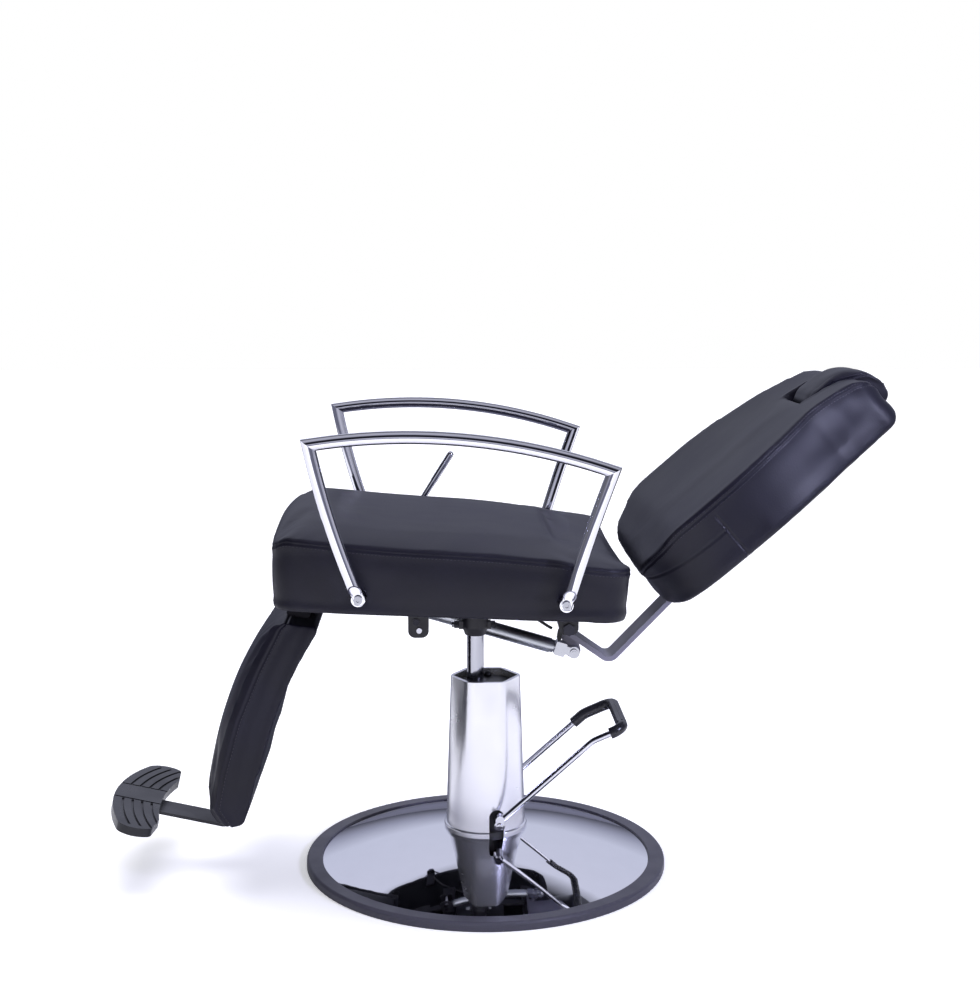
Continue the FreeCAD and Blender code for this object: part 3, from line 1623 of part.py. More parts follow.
def side_points(x, places):
    """Points of a piece's side view, given as (y, z), in the plane across X."""
    return [V(x, y, z) for y, z in places]


def legrest_section(x, crown):
    """Outline of the pad across X, thicker in the middle by the crown."""
    low, toe, heel, foot_rear, step = side_points(x, [
        (legrest_front_low[0] - crown * 0.4, legrest_front_low[1]),
        legrest_toe, legrest_heel, legrest_foot_rear, legrest_step,
    ])
    rear_low, rear_middle, rear_top, crest_rear, crest_front = side_points(x, [
        legrest_rear_low, legrest_rear_middle, legrest_rear_top, legrest_crest_rear, legrest_crest_front,
    ])
    top = V(x, legrest_front_top[0] - crown * 0.2, legrest_front_top[1])
    middle = V(x, legrest_front_middle[0] - crown, legrest_front_middle[1] - crown * 0.3)
    return Part.Wire([
        arc(top, middle, low),
        arc(low, V(x, low.y + 5, toe.z + 9), toe),
        line(toe, heel),
        arc(heel, V(x, heel.y + 11, heel.z + 5.5), foot_rear),
        line(foot_rear, step),
        line(step, rear_low),
        arc(rear_low, rear_middle, rear_top),
        arc(rear_top, V(x, rear_top.y - 2.5, crest_rear.z - 3.5), crest_rear),
        line(crest_rear, crest_front),
        arc(crest_front, V(x, crest_front.y - 8, crest_front.z - 4), top),
    ])


def legrest_form():
    reach = legrest_half_width + 6
    body = Part.makeLoft([
        legrest_section(-reach, -2.0), legrest_section(0, legrest_crown), legrest_section(reach, -2.0),
    ], True, False)
    w = legrest_half_width
    low = legrest_heel[1] - 2
    high = legrest_crest_front[1] + 60
    front = legrest_front_low[0] - 200
    corner = legrest_corner
    frame = plate([
        V(-w, front, low), V(w, front, low), V(w, front, high), V(-w, front, high),
    ], [corner, corner, 4.0, 4.0], V(0, 600, 0))
    return body.common(frame)


def legrest_rear_line(x, depth):
    """Low, middle and top of the leg rest's rear face, moved into the pad by the depth."""
    return [V(x, y - depth, z) for y, z in (legrest_rear_low, legrest_rear_middle, legrest_rear_top)]


def panel_slab():
    """Space of the back panel: a shell that follows the pad's rear face."""
    outer = legrest_rear_line(0, 0)
    inner = legrest_rear_line(0, legrest_panel_thickness)
    w = legrest_half_width - legrest_panel_margin
    wire = Part.Wire([
        arc(outer[0], outer[1], outer[2]), line(outer[2], inner[2]),
        arc(inner[2], inner[1], inner[0]), line(inner[0], outer[0]),
    ])
    solid = Part.Face(wire).extrude(V(2 * w, 0, 0))
    solid.translate(V(-w, 0, 0))
    return solid


def legrest_board_solid():
    """Plywood inside the pad, from its top down to where the foot bar is bolted."""
    depth = legrest_panel_thickness + legrest_board_inset
    front = depth + legrest_board_thickness
    w = legrest_board_half
    low, middle, top = legrest_rear_line(-w, depth)
    front_low, front_middle, front_top = legrest_rear_line(-w, front)
    wire = Part.Wire([
        arc(low, middle, top), line(top, front_top),
        arc(front_top, front_middle, front_low), line(front_low, low),
    ])
    return Part.Face(wire).extrude(V(2 * w, 0, 0))


def foot_bar_path():
    tilt = math.tan(math.radians(foot_tilt))
    front = (foot_tip_y, foot_front_z + (foot_front_y - foot_tip_y) * tilt)
    bend = (foot_bend_y, foot_front_z + (foot_front_y - foot_bend_y) * tilt)
    face = legrest_panel_thickness + legrest_board_inset + legrest_board_thickness + foot_bar_thickness
    low_y = legrest_rear_low[0] - face
    slope = (legrest_rear_middle[0] - legrest_rear_low[0]) / (legrest_rear_middle[1] - legrest_rear_low[1])
    return [front, bend, (low_y, legrest_rear_low[1]),
            (low_y + foot_bar_rise * slope, legrest_rear_low[1] + foot_bar_rise)]


def foot_bar():
    half = foot_bar_half_width
    bar = strip(-half, half, foot_bar_path(), foot_bar_thickness, foot_bend_radius)
    return bar.cut(foot_plate_screws()).cut(legrest_bolts())


def legrest_bolts():
    """Bolts through the foot bar and the board, buried in the pad."""
    bolts = []
    rear = legrest_rear_low[0] - legrest_panel_thickness - legrest_board_inset + 6.0
    front = rear - legrest_board_thickness - foot_bar_thickness - 12.0
    height = legrest_rear_low[1] + foot_bar_rise / 2.0
    for side in (-1, 1):
        start = V(side * legrest_bolt_x, rear, height)
        shank = rod(start, V(start.x, front, height), legrest_bolt_radius)
        head = rod(V(start.x, front + 1.5, height), V(start.x, front - 2.5, height), legrest_bolt_radius + 3.0)
        bolts.append(join([shank, head]))
    return group(bolts)


def foot_screw_places():
    tilt = math.tan(math.radians(foot_tilt))
    places = []
    for side in (-1, 1):
        for y in (foot_front_y - 22, foot_front_y - 2):
            places.append(V(side * foot_screw_x, y, foot_front_z + (foot_front_y - y) * tilt))
    return places


def foot_tilted(shape):
    """Lay a shape drawn flat at Z = 0 on the sloping end of the foot bar."""
    laid = shape.copy()
    laid.rotate(V(0, foot_front_y, 0), X_AXIS, -foot_tilt)
    laid.translate(V(0, 0, foot_front_z))
    return laid


def tread_front(x):
    """Point of the tread's outer arc at one X."""
    return V(x, foot_plate_front + foot_plate_radius - math.sqrt(foot_plate_radius ** 2 - x * x), 0)


def opposite(point):
    """The same point on the other side of the chair."""
    return V(-point.x, point.y, point.z)


def tread_outline():
    """Kidney shape with a round lobe at each end."""
    half = foot_plate_half_width
    lobe = foot_lobe_radius
    tip_front = tread_front(half - lobe * 0.45)
    tip_rear = V(half - lobe * 0.35, tip_front.y + 2 * lobe - 6, 0)
    tip_side = V(half, (tip_front.y + tip_rear.y) / 2, 0)
    rear_mid = V(0, foot_plate_front + foot_plate_depth, 0)
    rear_side = V(half - lobe - 26, rear_mid.y + 11, 0)
    return Part.Wire([
        arc(opposite(tip_front), tread_front(0), tip_front),
        arc(tip_front, tip_side, tip_rear),
        line(tip_rear, rear_side),
        arc(rear_side, rear_mid, opposite(rear_side)),
        line(opposite(rear_side), opposite(tip_rear)),
        arc(opposite(tip_rear), opposite(tip_side), opposite(tip_front)),
    ])


def foot_plate():
    """Rubber kidney-shaped tread with grooves that follow its outer arc."""
    half = foot_plate_half_width
    top = foot_plate_thickness
    solid = Part.Face(tread_outline()).extrude(V(0, 0, top))
    tips = [edge for edge in solid.Edges if abs(edge.BoundBox.ZLength - top) < 0.1
            and abs(edge.BoundBox.Center.x) > half - foot_lobe_radius]
    solid = solid.makeFillet(foot_tip_round, tips)
    centre_y = foot_plate_front + foot_plate_radius
    front = foot_plate_front - 5
    spacing = foot_plate_depth / (foot_groove_count + 1)
    for index in range(foot_groove_count):
        radius = foot_plate_radius - spacing * (index + 0.9)
        ring = Part.makeCylinder(radius, foot_groove_depth + 1, V(0, centre_y, top - foot_groove_depth))
        ring = ring.cut(Part.makeCylinder(radius - foot_groove_width, 40, V(0, centre_y, -10)))
        reach = math.sqrt(max((half - 12) ** 2 - (index * 6) ** 2, 1))
        for side in (-1, 1):
            x0, x1 = sorted((side * foot_band_half, side * reach))
            solid = solid.cut(ring.common(block(x0, x1, front, front + 155, 0, 30)))
    for side in (-1, 1):
        x0, x1 = sorted((side * (foot_band_half - foot_groove_width), side * foot_band_half))
        solid = solid.cut(block(x0, x1, front, foot_plate_front + foot_plate_depth + 20, top - 1.5, top + 5))
    return foot_tilted(solid).cut(foot_plate_screws())


def foot_plate_screws():
    screws = []
    tilt = math.radians(foot_tilt)
    normal = V(0, math.sin(tilt), math.cos(tilt))
    for point in foot_screw_places():
        under = point - normal * foot_bar_thickness
        shank = rod(under, point + normal * 8.0, foot_screw_radius)
        head = rod(under - normal * foot_screw_head_height, under, foot_screw_head_radius)
        screws.append(join([shank, head]))
    return group(screws)


def legrest_bracket():
    """Folded steel box that carries the leg rest under the front of the seat."""
    top = seat_z + 80
    half = legrest_bracket_half
    low_front, low_rear = legrest_bracket_foot
    high_rear, high_front = legrest_bracket_top
    outline = side_plate(-half, half, [low_front, low_rear, (high_rear, top), (high_front, top)], [0, 0, 0, 0])
    flange_rear = chassis_front + lift_y - 1.5
    flange = block(-half, half, high_front, flange_rear, chassis_low + seat_z - 2, top)
    solid = join([outline, flange])
    above = raked(block(-400, 400, -500, 500, chassis_top, chassis_top + 200))
    solid = solid.cut(above)
    low_flange = block(-400, 400, board_front + 30, 0, chassis_low - 100, chassis_top - legrest_bracket_flange)
    return solid.cut(raked(low_flange))


def legrest_pad():
    pad = legrest_form()
    pad = pad.cut(legrest_bracket())
    pad = pad.cut(panel_slab())
    pad = pad.cut(legrest_board_solid())
    pad = pad.cut(foot_bar())
    pad = pad.cut(legrest_bolts())
    return max(pad.Solids, key=lambda solid: solid.Volume)


def legrest_back_panel():
    panel = legrest_form().common(panel_slab())
    return panel.cut(legrest_bracket())


def legrest_board():
    board = legrest_board_solid().common(legrest_form())
    board = board.cut(legrest_bracket()).cut(foot_bar())
    board = board.cut(legrest_bolts())
    return max(board.Solids, key=lambda solid: solid.Volume)


def lever_bracket():
    """Steel angle under the board that holds the lever's pivot beside the cushion."""
    half = lever_bracket_half
    hub = lever_hub_width / 2
    sheet = lever_bracket_thickness
    under = seat_point(0, lever_pivot_y - lift_y, chassis_top).z - sheet
    front = lever_pivot_y - half
    rear = lever_pivot_y + half
    foot = block(lever_x + hub + 1, -cross_member_reach - 60, front, rear, under - sheet, under + 6)
    ear = side_plate(lever_x + hub + 1, lever_x + hub + 1 + sheet, [
        (front, under + 6), (front, lever_pivot_z - 12), (rear, lever_pivot_z - 12), (rear, under + 6),
    ], [0, 8.0, 8.0, 0])
    pin = across(lever_x - hub - 3, lever_x + hub + 4, lever_pivot_y, lever_pivot_z, lever_pin_radius)
    solid = join([foot, ear, pin])
    return solid.cut(raked(block(-400, 400, -500, 500, chassis_top, chassis_top + 200)))


def recline_lever():
    pivot = V(lever_x, lever_pivot_y, lever_pivot_z)
    tip = V(lever_x, lever_tip_y, lever_tip_z)
    direction = (tip - pivot).normalize()
    half = lever_hub_width / 2
    hub = across(lever_x - half, lever_x + half, lever_pivot_y, lever_pivot_z, lever_hub_radius)
    grip_start = tip - direction * lever_grip_length
    shaft = cone(pivot, grip_start, lever_low_radius, lever_tip_radius - 0.5)
    grip = rod(grip_start, tip - direction * 3, lever_tip_radius)
    end = Part.makeSphere(lever_tip_radius, tip - direction * 3)
    lever = join([hub, shaft, grip, end])
    bore = lever_pin_radius + running_clearance
    return lever.cut(across(lever_x - 20, lever_x + 20, lever_pivot_y, lever_pivot_z, bore))


def release_cable():
    """Sheathed cable from the tab's stop under the board to the lever's bracket."""
    points = [V(x, y, z) for x, y, z in cable_places]
    radii = []
    for index in range(1, len(points) - 1):
        before = points[index] - points[index - 1]
        after = points[index + 1] - points[index]
        shorter = min(before.Length, after.Length)
        radii.append(0.45 * shorter / math.tan(before.getAngle(after) / 2.0))
    return swept(routed(points, radii), cable_radius)


NODES = {
    "base_disc": base_disc,
    "base_trim_ring": base_trim_ring,
    "base_floor_plate": base_floor_plate,
    "column_cover": column_cover,
    "pump_base": pump_base,
    "reservoir_tube": reservoir_tube,
    "lift_cylinder": lift_cylinder,
    "pump_cap": pump_cap,
    "rod_wiper": rod_wiper,
    "filler_plug": filler_plug,
    "pump_bolts": pump_bolts,
    "pedal_shaft": pedal_shaft,
    "pedal_rods": pedal_rods,
    "pedal_grip": pedal_grip,
    "pedal_hubs": pedal_hubs,
    "pedal_screws": pedal_screws,
    "pump_plunger": pump_plunger,
    "plunger_spring": plunger_spring,
    "piston_rod": piston_rod,
    "piston_head": piston_head,
    "piston_seal": piston_seal,
    "mount_socket": mount_socket,
    "socket_bolt": socket_bolt,
    "mount_plate": mount_plate,
    "mount_bolts": mount_bolts,
    "seat_chassis": seat_chassis,
    "seat_board": seat_board,
    "arm_rails": arm_rails,
    "seat_cushion": seat_cushion,
    "arm_left": lambda: arm(1),
    "arm_right": lambda: arm(-1),
    "arm_spacers": arm_spacers,
    "arm_bolts": arm_bolts,
    "front_bracket": front_bracket,
    "front_bracket_pins": front_bracket_pins,
    "hinge_bracket": hinge_bracket,
    "hinge_pin": hinge_pin,
    "back_bar": back_bar,
    "back_bolts": back_bolts,
    "back_rear_panel": back_rear_panel,
    "back_cushion": back_cushion,
    "headrest_guides": headrest_guides,
    "headrest_pad": headrest_pad,
    "headrest_posts": headrest_posts,
    "gas_cylinder": gas_cylinder,
    "gas_rod": gas_rod,
    "release_head": release_head,
    "gas_rear_pin": gas_rear_pin,
    "release_tab": release_tab,
    "legrest_bracket": legrest_bracket,
    "legrest_pad": legrest_pad,
    "legrest_back_panel": legrest_back_panel,
    "legrest_board": legrest_board,
    "legrest_bolts": legrest_bolts,
    "foot_bar": foot_bar,
    "foot_plate": foot_plate,
    "foot_plate_screws": foot_plate_screws,
    "lever_bracket": lever_bracket,
    "recline_lever": recline_lever,
    "release_cable": release_cable,
}

for node_name, make in NODES.items():
    save(node_name, make())
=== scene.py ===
import math

import bpy
import numpy as np
from mathutils import Matrix, Vector, noise


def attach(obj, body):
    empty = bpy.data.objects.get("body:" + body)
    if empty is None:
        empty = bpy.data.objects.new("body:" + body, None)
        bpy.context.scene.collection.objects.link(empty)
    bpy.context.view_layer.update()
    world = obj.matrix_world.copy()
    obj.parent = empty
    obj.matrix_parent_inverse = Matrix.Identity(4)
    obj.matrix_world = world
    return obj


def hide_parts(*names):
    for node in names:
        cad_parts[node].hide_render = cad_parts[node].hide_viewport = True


bl_info = {
    "name": "Barber Chair Finishes",
    "version": (1, 0, 0),
    "blender": (4, 5, 0),
    "location": "View3D > Sidebar > Barber Chair",
    "description": "Upholstery, finishes and studio for a hydraulic barber chair",
    "category": "Object",
}

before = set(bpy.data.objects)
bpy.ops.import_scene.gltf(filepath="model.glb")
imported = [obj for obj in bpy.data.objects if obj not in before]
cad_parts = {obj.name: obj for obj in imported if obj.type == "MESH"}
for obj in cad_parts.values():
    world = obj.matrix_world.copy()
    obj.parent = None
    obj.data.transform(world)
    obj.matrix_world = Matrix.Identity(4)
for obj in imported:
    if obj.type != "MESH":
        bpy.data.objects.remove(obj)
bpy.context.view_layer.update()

# The seat's own frame is raked about the top of the piston rod
SEAT_RAKE = math.radians(-2.0)
SEAT_ORIGIN = Vector((0.0, -0.017, 0.440))
# The backrest's own frame: Y runs up the back, Z towards the sitter
BACK_ANGLE = math.radians(41.0)
BACK_ORIGIN = Vector((0.0, 0.137, 0.3964))

SEAT_FRAME = Matrix.Translation(SEAT_ORIGIN) @ Matrix.Rotation(SEAT_RAKE, 4, "X")
BACK_FRAME = Matrix.Translation(BACK_ORIGIN) @ Matrix.Rotation(BACK_ANGLE, 4, "X")
# The same frames turned so that Z runs up the back, and so that Z runs to the front of the leg rest
ALONG_BACK = BACK_FRAME @ Matrix.Rotation(math.radians(-90.0), 4, "X")
LEGREST_FRAME = Matrix.Rotation(math.radians(90.0), 4, "X")
# The leg rest leans back from its toe to its top
LEGREST_SLOPE = Matrix.Rotation(math.radians(-17.0), 4, "X")
# The back turns about this Y and Z, and its foot swings past the seat's rear at a distance from it
BACK_HINGE = (0.133, 0.409)
SWEEP_AT_MIDDLE = 0.1435
SWEEP_AT_SIDES = 0.1665
SWEEP_HALF_WIDTH = 0.303
# How far the filling stands above the solids' plain faces
SEAT_FULLNESS = 0.006
BACK_FULLNESS = 0.011
THREAD = 0.0008
CLOTH_STEPS = 20
# Where the back's cross seam lies along it
CROSS_SEAM = 0.297


class ChairFinishes(bpy.types.PropertyGroup):
    leather: bpy.props.StringProperty(
        name="Leather", description="Cover colour in the light, as sRGB hex", default="#191826")
    leather_shade: bpy.props.StringProperty(
        name="Leather hollows", description="Cover colour in the grain's hollows, as sRGB hex",
        default="#13121d")
    chrome: bpy.props.StringProperty(
        name="Chrome", description="Colour of polished chrome plating, as sRGB hex", default="#eeeef4")
    paint: bpy.props.StringProperty(
        name="Paint", description="Colour of the powder coat, as sRGB hex", default="#26252b")
    rubber: bpy.props.StringProperty(
        name="Rubber", description="Colour of the trim and tread rubber, as sRGB hex", default="#232328")
    plastic: bpy.props.StringProperty(
        name="Plastic", description="Colour of the moulded caps, as sRGB hex", default="#18181b")
    aluminium: bpy.props.StringProperty(
        name="Aluminium", description="Colour of the gas spring's tube, as sRGB hex", default="#c9ccd0")
    grain_size: bpy.props.FloatProperty(
        name="Leather grain", description="Size of one pebble of the embossed grain", default=0.0024,
        unit="LENGTH")


class UpholsterySettings(bpy.types.PropertyGroup):
    voxel: bpy.props.FloatProperty(
        name="Mesh size", description="Edge length of the cover before it swells", default=0.006, unit="LENGTH")
    swell: bpy.props.FloatProperty(
        name="Swell", description="Furthest that the filling pushes a point of the cover", default=0.007,
        unit="LENGTH")
    draw_in: bpy.props.FloatProperty(
        name="Draw in", description="How far the cover starts inside its form", default=0.003, unit="LENGTH")
    stitch_pitch: bpy.props.FloatProperty(
        name="Stitch pitch", description="Distance from one stitch to the next", default=0.0055, unit="LENGTH")


class StudioSettings(bpy.types.PropertyGroup):
    lens: bpy.props.FloatProperty(
        name="Lens", description="Focal length on a 36 mm sensor", default=56.7, unit="CAMERA")
    tilt: bpy.props.FloatProperty(
        name="Tilt", description="How far the camera looks down", default=math.radians(7.6), subtype="ANGLE")
    heading: bpy.props.FloatProperty(
        name="Heading", description="Direction that the camera faces", default=math.radians(88.0),
        subtype="ANGLE")
    camera_place: bpy.props.FloatVectorProperty(
        name="Camera place", description="Where the camera stands", default=(2.5059, -0.0800, 0.9629),
        subtype="TRANSLATION")
    floor_colour: bpy.props.StringProperty(
        name="Floor", description="Colour of the studio floor, as sRGB hex", default="#fbfbfd")
    floor_shade: bpy.props.StringProperty(
        name="Floor shade", description="Floor colour in the light that it throws back, as sRGB hex",
        default="#6c6d7a")
    floor_glow: bpy.props.FloatProperty(
        name="Floor glow", description="How brightly the floor is lit from below", default=0.40)
    ceiling: bpy.props.FloatProperty(
        name="Ceiling light", description="Strength of the even light from above", default=2.4)
    front_softbox: bpy.props.FloatProperty(
        name="Front softbox", description="Power of the softbox beside the camera", default=46.0, unit="POWER")
    corner_softbox: bpy.props.FloatProperty(
        name="Corner softbox", description="Power of the small softbox on the backrest's side", default=6.0,
        unit="POWER")


def linear(hex_colour):
    """An sRGB hex colour as the linear numbers that a shader takes."""
    parts = [int(hex_colour[i:i + 2], 16) / 255.0 for i in (1, 3, 5)]
    return [p / 12.92 if p <= 0.04045 else ((p + 0.055) / 1.055) ** 2.4 for p in parts] + [1.0]


def add_node(tree, kind, links=None, **settings):
    """Add one node with its settings, and link its inputs from the given sockets."""
    made = tree.nodes.new(kind)
    for name, value in settings.items():
        socket = made.inputs.get(name.replace("_", " ").title())
        if hasattr(made, name):
            setattr(made, name, value)
        elif socket is not None:
            socket.default_value = value
        else:
            raise KeyError(f"{kind} has no setting {name}")
    for name, source in (links or {}).items():
        tree.links.new(source, made.inputs[name])
    return made


def feed(tree, socket, value):
    """Give a socket another node's output, or else a fixed value."""
    if isinstance(value, bpy.types.NodeSocket):
        tree.links.new(value, socket)
    else:
        socket.default_value = value


def ranged(tree, value, low, high, start=0.0, end=1.0, **settings):
    """A number carried from one range of values to another, and held at the ends."""
    made = add_node(tree, "ShaderNodeMapRange", {"Value": value}, **settings)
    for name, number in (("From Min", low), ("From Max", high), ("To Min", start), ("To Max", end)):
        made.inputs[name].default_value = number
    return made.outputs["Result"]


def mixed(tree, factor, first, second):
    """The first colour where the factor is 0, and the second where it is 1."""
    made = add_node(tree, "ShaderNodeMix", {"Factor": factor}, data_type="RGBA")
    feed(tree, made.inputs[6], first)
    feed(tree, made.inputs[7], second)
    return made.outputs[2]


def shaded(colour, share):
    """A linear colour made darker or lighter."""
    return [part * share for part in colour[:3]] + [1.0]


def calculated(tree, operation, *numbers, **settings):
    """The result of one sum on the numbers."""
    made = add_node(tree, "ShaderNodeMath", operation=operation, **settings)
    for socket, number in zip(made.inputs, numbers):
        feed(tree, socket, number)
    return made.outputs["Value"]


def bumped(tree, height, strength, distance, below=None):
    """The surface's direction, tilted by a height that runs over it."""
    links = {"Height": height} if below is None else {"Height": height, "Normal": below}
    made = add_node(tree, "ShaderNodeBump", links, strength=strength, distance=distance)
    return made.outputs["Normal"]


def new_material(name):
    """An empty node material, with its surface shader, its output and the object's own coordinates."""
    material = bpy.data.materials.new(name)
    material.use_nodes = True
    tree = material.node_tree
    tree.nodes.clear()
    place = add_node(tree, "ShaderNodeTexCoord").outputs["Object"]
    shader = add_node(tree, "ShaderNodeBsdfPrincipled")
    add_node(tree, "ShaderNodeOutputMaterial", {"Surface": shader.outputs["BSDF"]})
    return material, tree, place, shader


def embossed_leather(looks):
    """Split leather with a pressed grain and a satin top coat: soft broad highlights over a fine net."""
    material, tree, place, shader = new_material("embossed_leather")
    # Real pebbles are about 1 mm; they are drawn coarser so that they show
    grain = add_node(tree, "ShaderNodeTexVoronoi", {"Vector": place}, feature="SMOOTH_F1",
                     scale=1.0 / looks.grain_size, smoothness=0.6)
    # Stretch and handling leave cloudy patches a hand wide
    clouds = add_node(tree, "ShaderNodeTexNoise", {"Vector": place}, scale=1.0 / 0.16, detail=3.0)
    creases = add_node(tree, "ShaderNodeTexNoise", {"Vector": place}, scale=1.0 / 0.045, detail=3.0,
                       distortion=0.4)
    patch = clouds.outputs["Fac"]
    tone = ranged(tree, patch, 0.35, 0.70)
    colour = mixed(tree, tone, linear(looks.leather_shade), linear(looks.leather))
    feed(tree, shader.inputs["Base Color"], colour)
    feed(tree, shader.inputs["Roughness"], ranged(tree, patch, 0.3, 0.7, 0.42, 0.48))
    folds = bumped(tree, creases.outputs["Fac"], 0.15, 0.0010)
    feed(tree, shader.inputs["Normal"], bumped(tree, grain.outputs["Distance"], 0.25, 0.0003, folds))
    shader.inputs["Specular IOR Level"].default_value = 0.36
    shader.inputs["IOR"].default_value = 1.5
    return material


def plated_metal(name, hex_colour, low, high, wave, metallic=1.0):
    """Bright plating over polished steel: a mirror with a faint haze that comes and goes."""
    material, tree, place, shader = new_material(name)
    haze = add_node(tree, "ShaderNodeTexNoise", {"Vector": place}, scale=1.0 / 0.035, detail=4.0).outputs["Fac"]
    feed(tree, shader.inputs["Roughness"], ranged(tree, haze, 0.35, 0.75, low, high))
    colour = linear(hex_colour)
    feed(tree, shader.inputs["Base Color"], mixed(tree, haze, colour, shaded(colour, 0.95)))
    # Polishing leaves a very shallow wave
    ripple = add_node(tree, "ShaderNodeTexNoise", {"Vector": place}, scale=1.0 / 0.05, detail=1.0)
    feed(tree, shader.inputs["Normal"], bumped(tree, ripple.outputs["Fac"], 0.15, wave))
    shader.inputs["Metallic"].default_value = metallic
    return material


def textured_coat(name, hex_colour, roughness, grit, depth, level):
    """A coat or moulding with a fine even texture: matt on the whole, with small broken highlights."""
    material, tree, place, shader = new_material(name)
    fine = add_node(tree, "ShaderNodeTexNoise", {"Vector": place}, scale=1.0 / grit, detail=3.0).outputs["Fac"]
    broad = add_node(tree, "ShaderNodeTexNoise", {"Vector": place}, scale=1.0 / 0.05, detail=3.0).outputs["Fac"]
    feed(tree, shader.inputs["Roughness"], ranged(tree, broad, 0.3, 0.7, roughness - 0.05, roughness + 0.08))
    colour = linear(hex_colour)
    feed(tree, shader.inputs["Base Color"], mixed(tree, fine, shaded(colour, 0.8), shaded(colour, 1.2)))
    feed(tree, shader.inputs["Normal"], bumped(tree, fine, 0.4, depth))
    shader.inputs["Specular IOR Level"].default_value = level
    return material


def birch_plywood():
    """Rotary-cut birch ply, sanded and left bare: pale, with long faint grain."""
    material, tree, place, shader = new_material("birch_plywood")
    stretched = add_node(tree, "ShaderNodeMapping", {"Vector": place})
    stretched.inputs["Scale"].default_value = (1.0, 0.12, 1.0)
    grain = add_node(tree, "ShaderNodeTexNoise", {"Vector": stretched.outputs["Vector"]}, scale=1.0 / 0.006,
                     detail=5.0).outputs["Fac"]
    feed(tree, shader.inputs["Base Color"], mixed(tree, grain, linear("#b58a5c"), linear("#d8b587")))
    feed(tree, shader.inputs["Normal"], bumped(tree, grain, 0.2, 0.0003))
    shader.inputs["Roughness"].default_value = 0.65
    return material


def zinc_under_black(low, high):
    """Bracket screws: bright zinc on the low end screw, blackened steel on the bolts above it."""
    material, tree, place, shader = new_material("zinc_and_blackened_steel")
    height = add_node(tree, "ShaderNodeSeparateXYZ", {"Vector": place}).outputs["Z"]
    coat = mixed(tree, ranged(tree, height, low, high), linear("#d9d9e0"), linear("#34343a"))
    feed(tree, shader.inputs["Base Color"], coat)
    shader.inputs["Metallic"].default_value = 1.0
    shader.inputs["Roughness"].default_value = 0.30
    return material


def studio_floor(looks):
    """Matt white floor, evenly lit from below: it throws little light back, and chrome mirrors it white."""
    material, tree, place, shader = new_material("matt_studio_floor")
    rays = add_node(tree, "ShaderNodeLightPath")
    away = add_node(tree, "ShaderNodeVectorMath", {"Vector": place}, operation="LENGTH").outputs["Value"]
    spot = add_node(tree, "ShaderNodeSeparateXYZ", {"Vector": place})
    # Mirrors see it white near the chair, but not in the strip behind the base
    sideways = calculated(tree, "ABSOLUTE", spot.outputs["Y"])
    beside = calculated(tree, "ADD", spot.outputs["X"], sideways, use_clamp=True)
    mirrored = calculated(tree, "MULTIPLY", ranged(tree, away, 3.4, 2.6), ranged(tree, beside, 0.0, 0.15))
    glossy = calculated(tree, "MULTIPLY", mirrored, rays.outputs["Is Glossy Ray"])
    pale = calculated(tree, "MAXIMUM", glossy, rays.outputs["Is Camera Ray"])
    tone = mixed(tree, pale, linear(looks.floor_shade), linear(looks.floor_colour))
    feed(tree, shader.inputs["Base Color"], tone)
    glow = calculated(tree, "MULTIPLY", rays.outputs["Is Camera Ray"], looks.floor_glow)
    feed(tree, shader.inputs["Emission Strength"], glow)
    shader.inputs["Emission Color"].default_value = linear(looks.floor_colour)
    shader.inputs["Roughness"].default_value = 1.0
    shader.inputs["Specular IOR Level"].default_value = 0.0
    return material


FINISH_OF_NODES = {
    "bright_chrome": [
        "base_disc", "arm_left", "arm_right", "arm_spacers", "pedal_rods",
        "pedal_hubs", "pedal_screws", "recline_lever", "foot_plate_screws"],
    "nickel_plate": ["release_head", "gas_rear_pin", "arm_bolts"],
    "zinc_and_blackened_steel": ["front_bracket_pins"],
    "blackened_steel": ["hinge_pin"],
    "satin_chrome": ["column_cover"],
    "hard_chrome": ["piston_rod", "gas_rod"],
    "ring_rubber": ["base_trim_ring", "rod_wiper", "piston_seal"],
    "ribbed_rubber": ["foot_plate"],
    "grip_rubber": ["pedal_grip"],
    "powder_coat": [
        "mount_socket", "mount_plate", "seat_chassis", "front_bracket", "hinge_bracket",
        "legrest_bracket", "foot_bar", "lever_bracket", "base_floor_plate"],
    "powder_coat_painted_sheen": ["back_bar"],
    "moulded_plastic": ["pump_cap", "filler_plug", "release_tab", "release_cable", "headrest_guides"],
    "machined_steel": [
        "socket_bolt", "reservoir_tube", "lift_cylinder", "piston_head", "pump_bolts", "pedal_shaft",
        "pump_plunger", "plunger_spring", "mount_bolts", "arm_rails", "back_bolts", "headrest_posts",
        "legrest_bolts"],
    "cast_iron": ["pump_base"],
    "birch_plywood": ["legrest_board"],
    "nonwoven_cloth": ["seat_board", "back_rear_panel"],
    "satin_aluminium": ["gas_cylinder"],
    "embossed_leather": ["seat_cushion", "back_cushion", "headrest_pad", "legrest_pad", "legrest_back_panel"],
}


def only(obj):
    """Select one object alone and make it the active one."""
    bpy.ops.object.select_all(action="DESELECT")
    obj.select_set(True)
    bpy.context.view_layer.objects.active = obj


def apply_modifier(obj, kind, **settings):
    """Add a modifier with its settings and apply it at once."""
    only(obj)
    modifier = obj.modifiers.new(kind.title(), kind)
    for name, value in settings.items():
        setattr(modifier, name, value)
    bpy.ops.object.modifier_apply(modifier=modifier.name)


def points_of(obj):
    """The vertices as rows of numbers."""
    found = np.empty(len(obj.data.vertices) * 3, np.float32)
    obj.data.vertices.foreach_get("co", found)
    return found.reshape(-1, 3).astype(float)


def normals_of(obj):
    """The vertices' directions as rows of numbers."""
    found = np.empty(len(obj.data.vertices) * 3, np.float32)
    obj.data.vertices.foreach_get("normal", found)
    return found.reshape(-1, 3).astype(float)


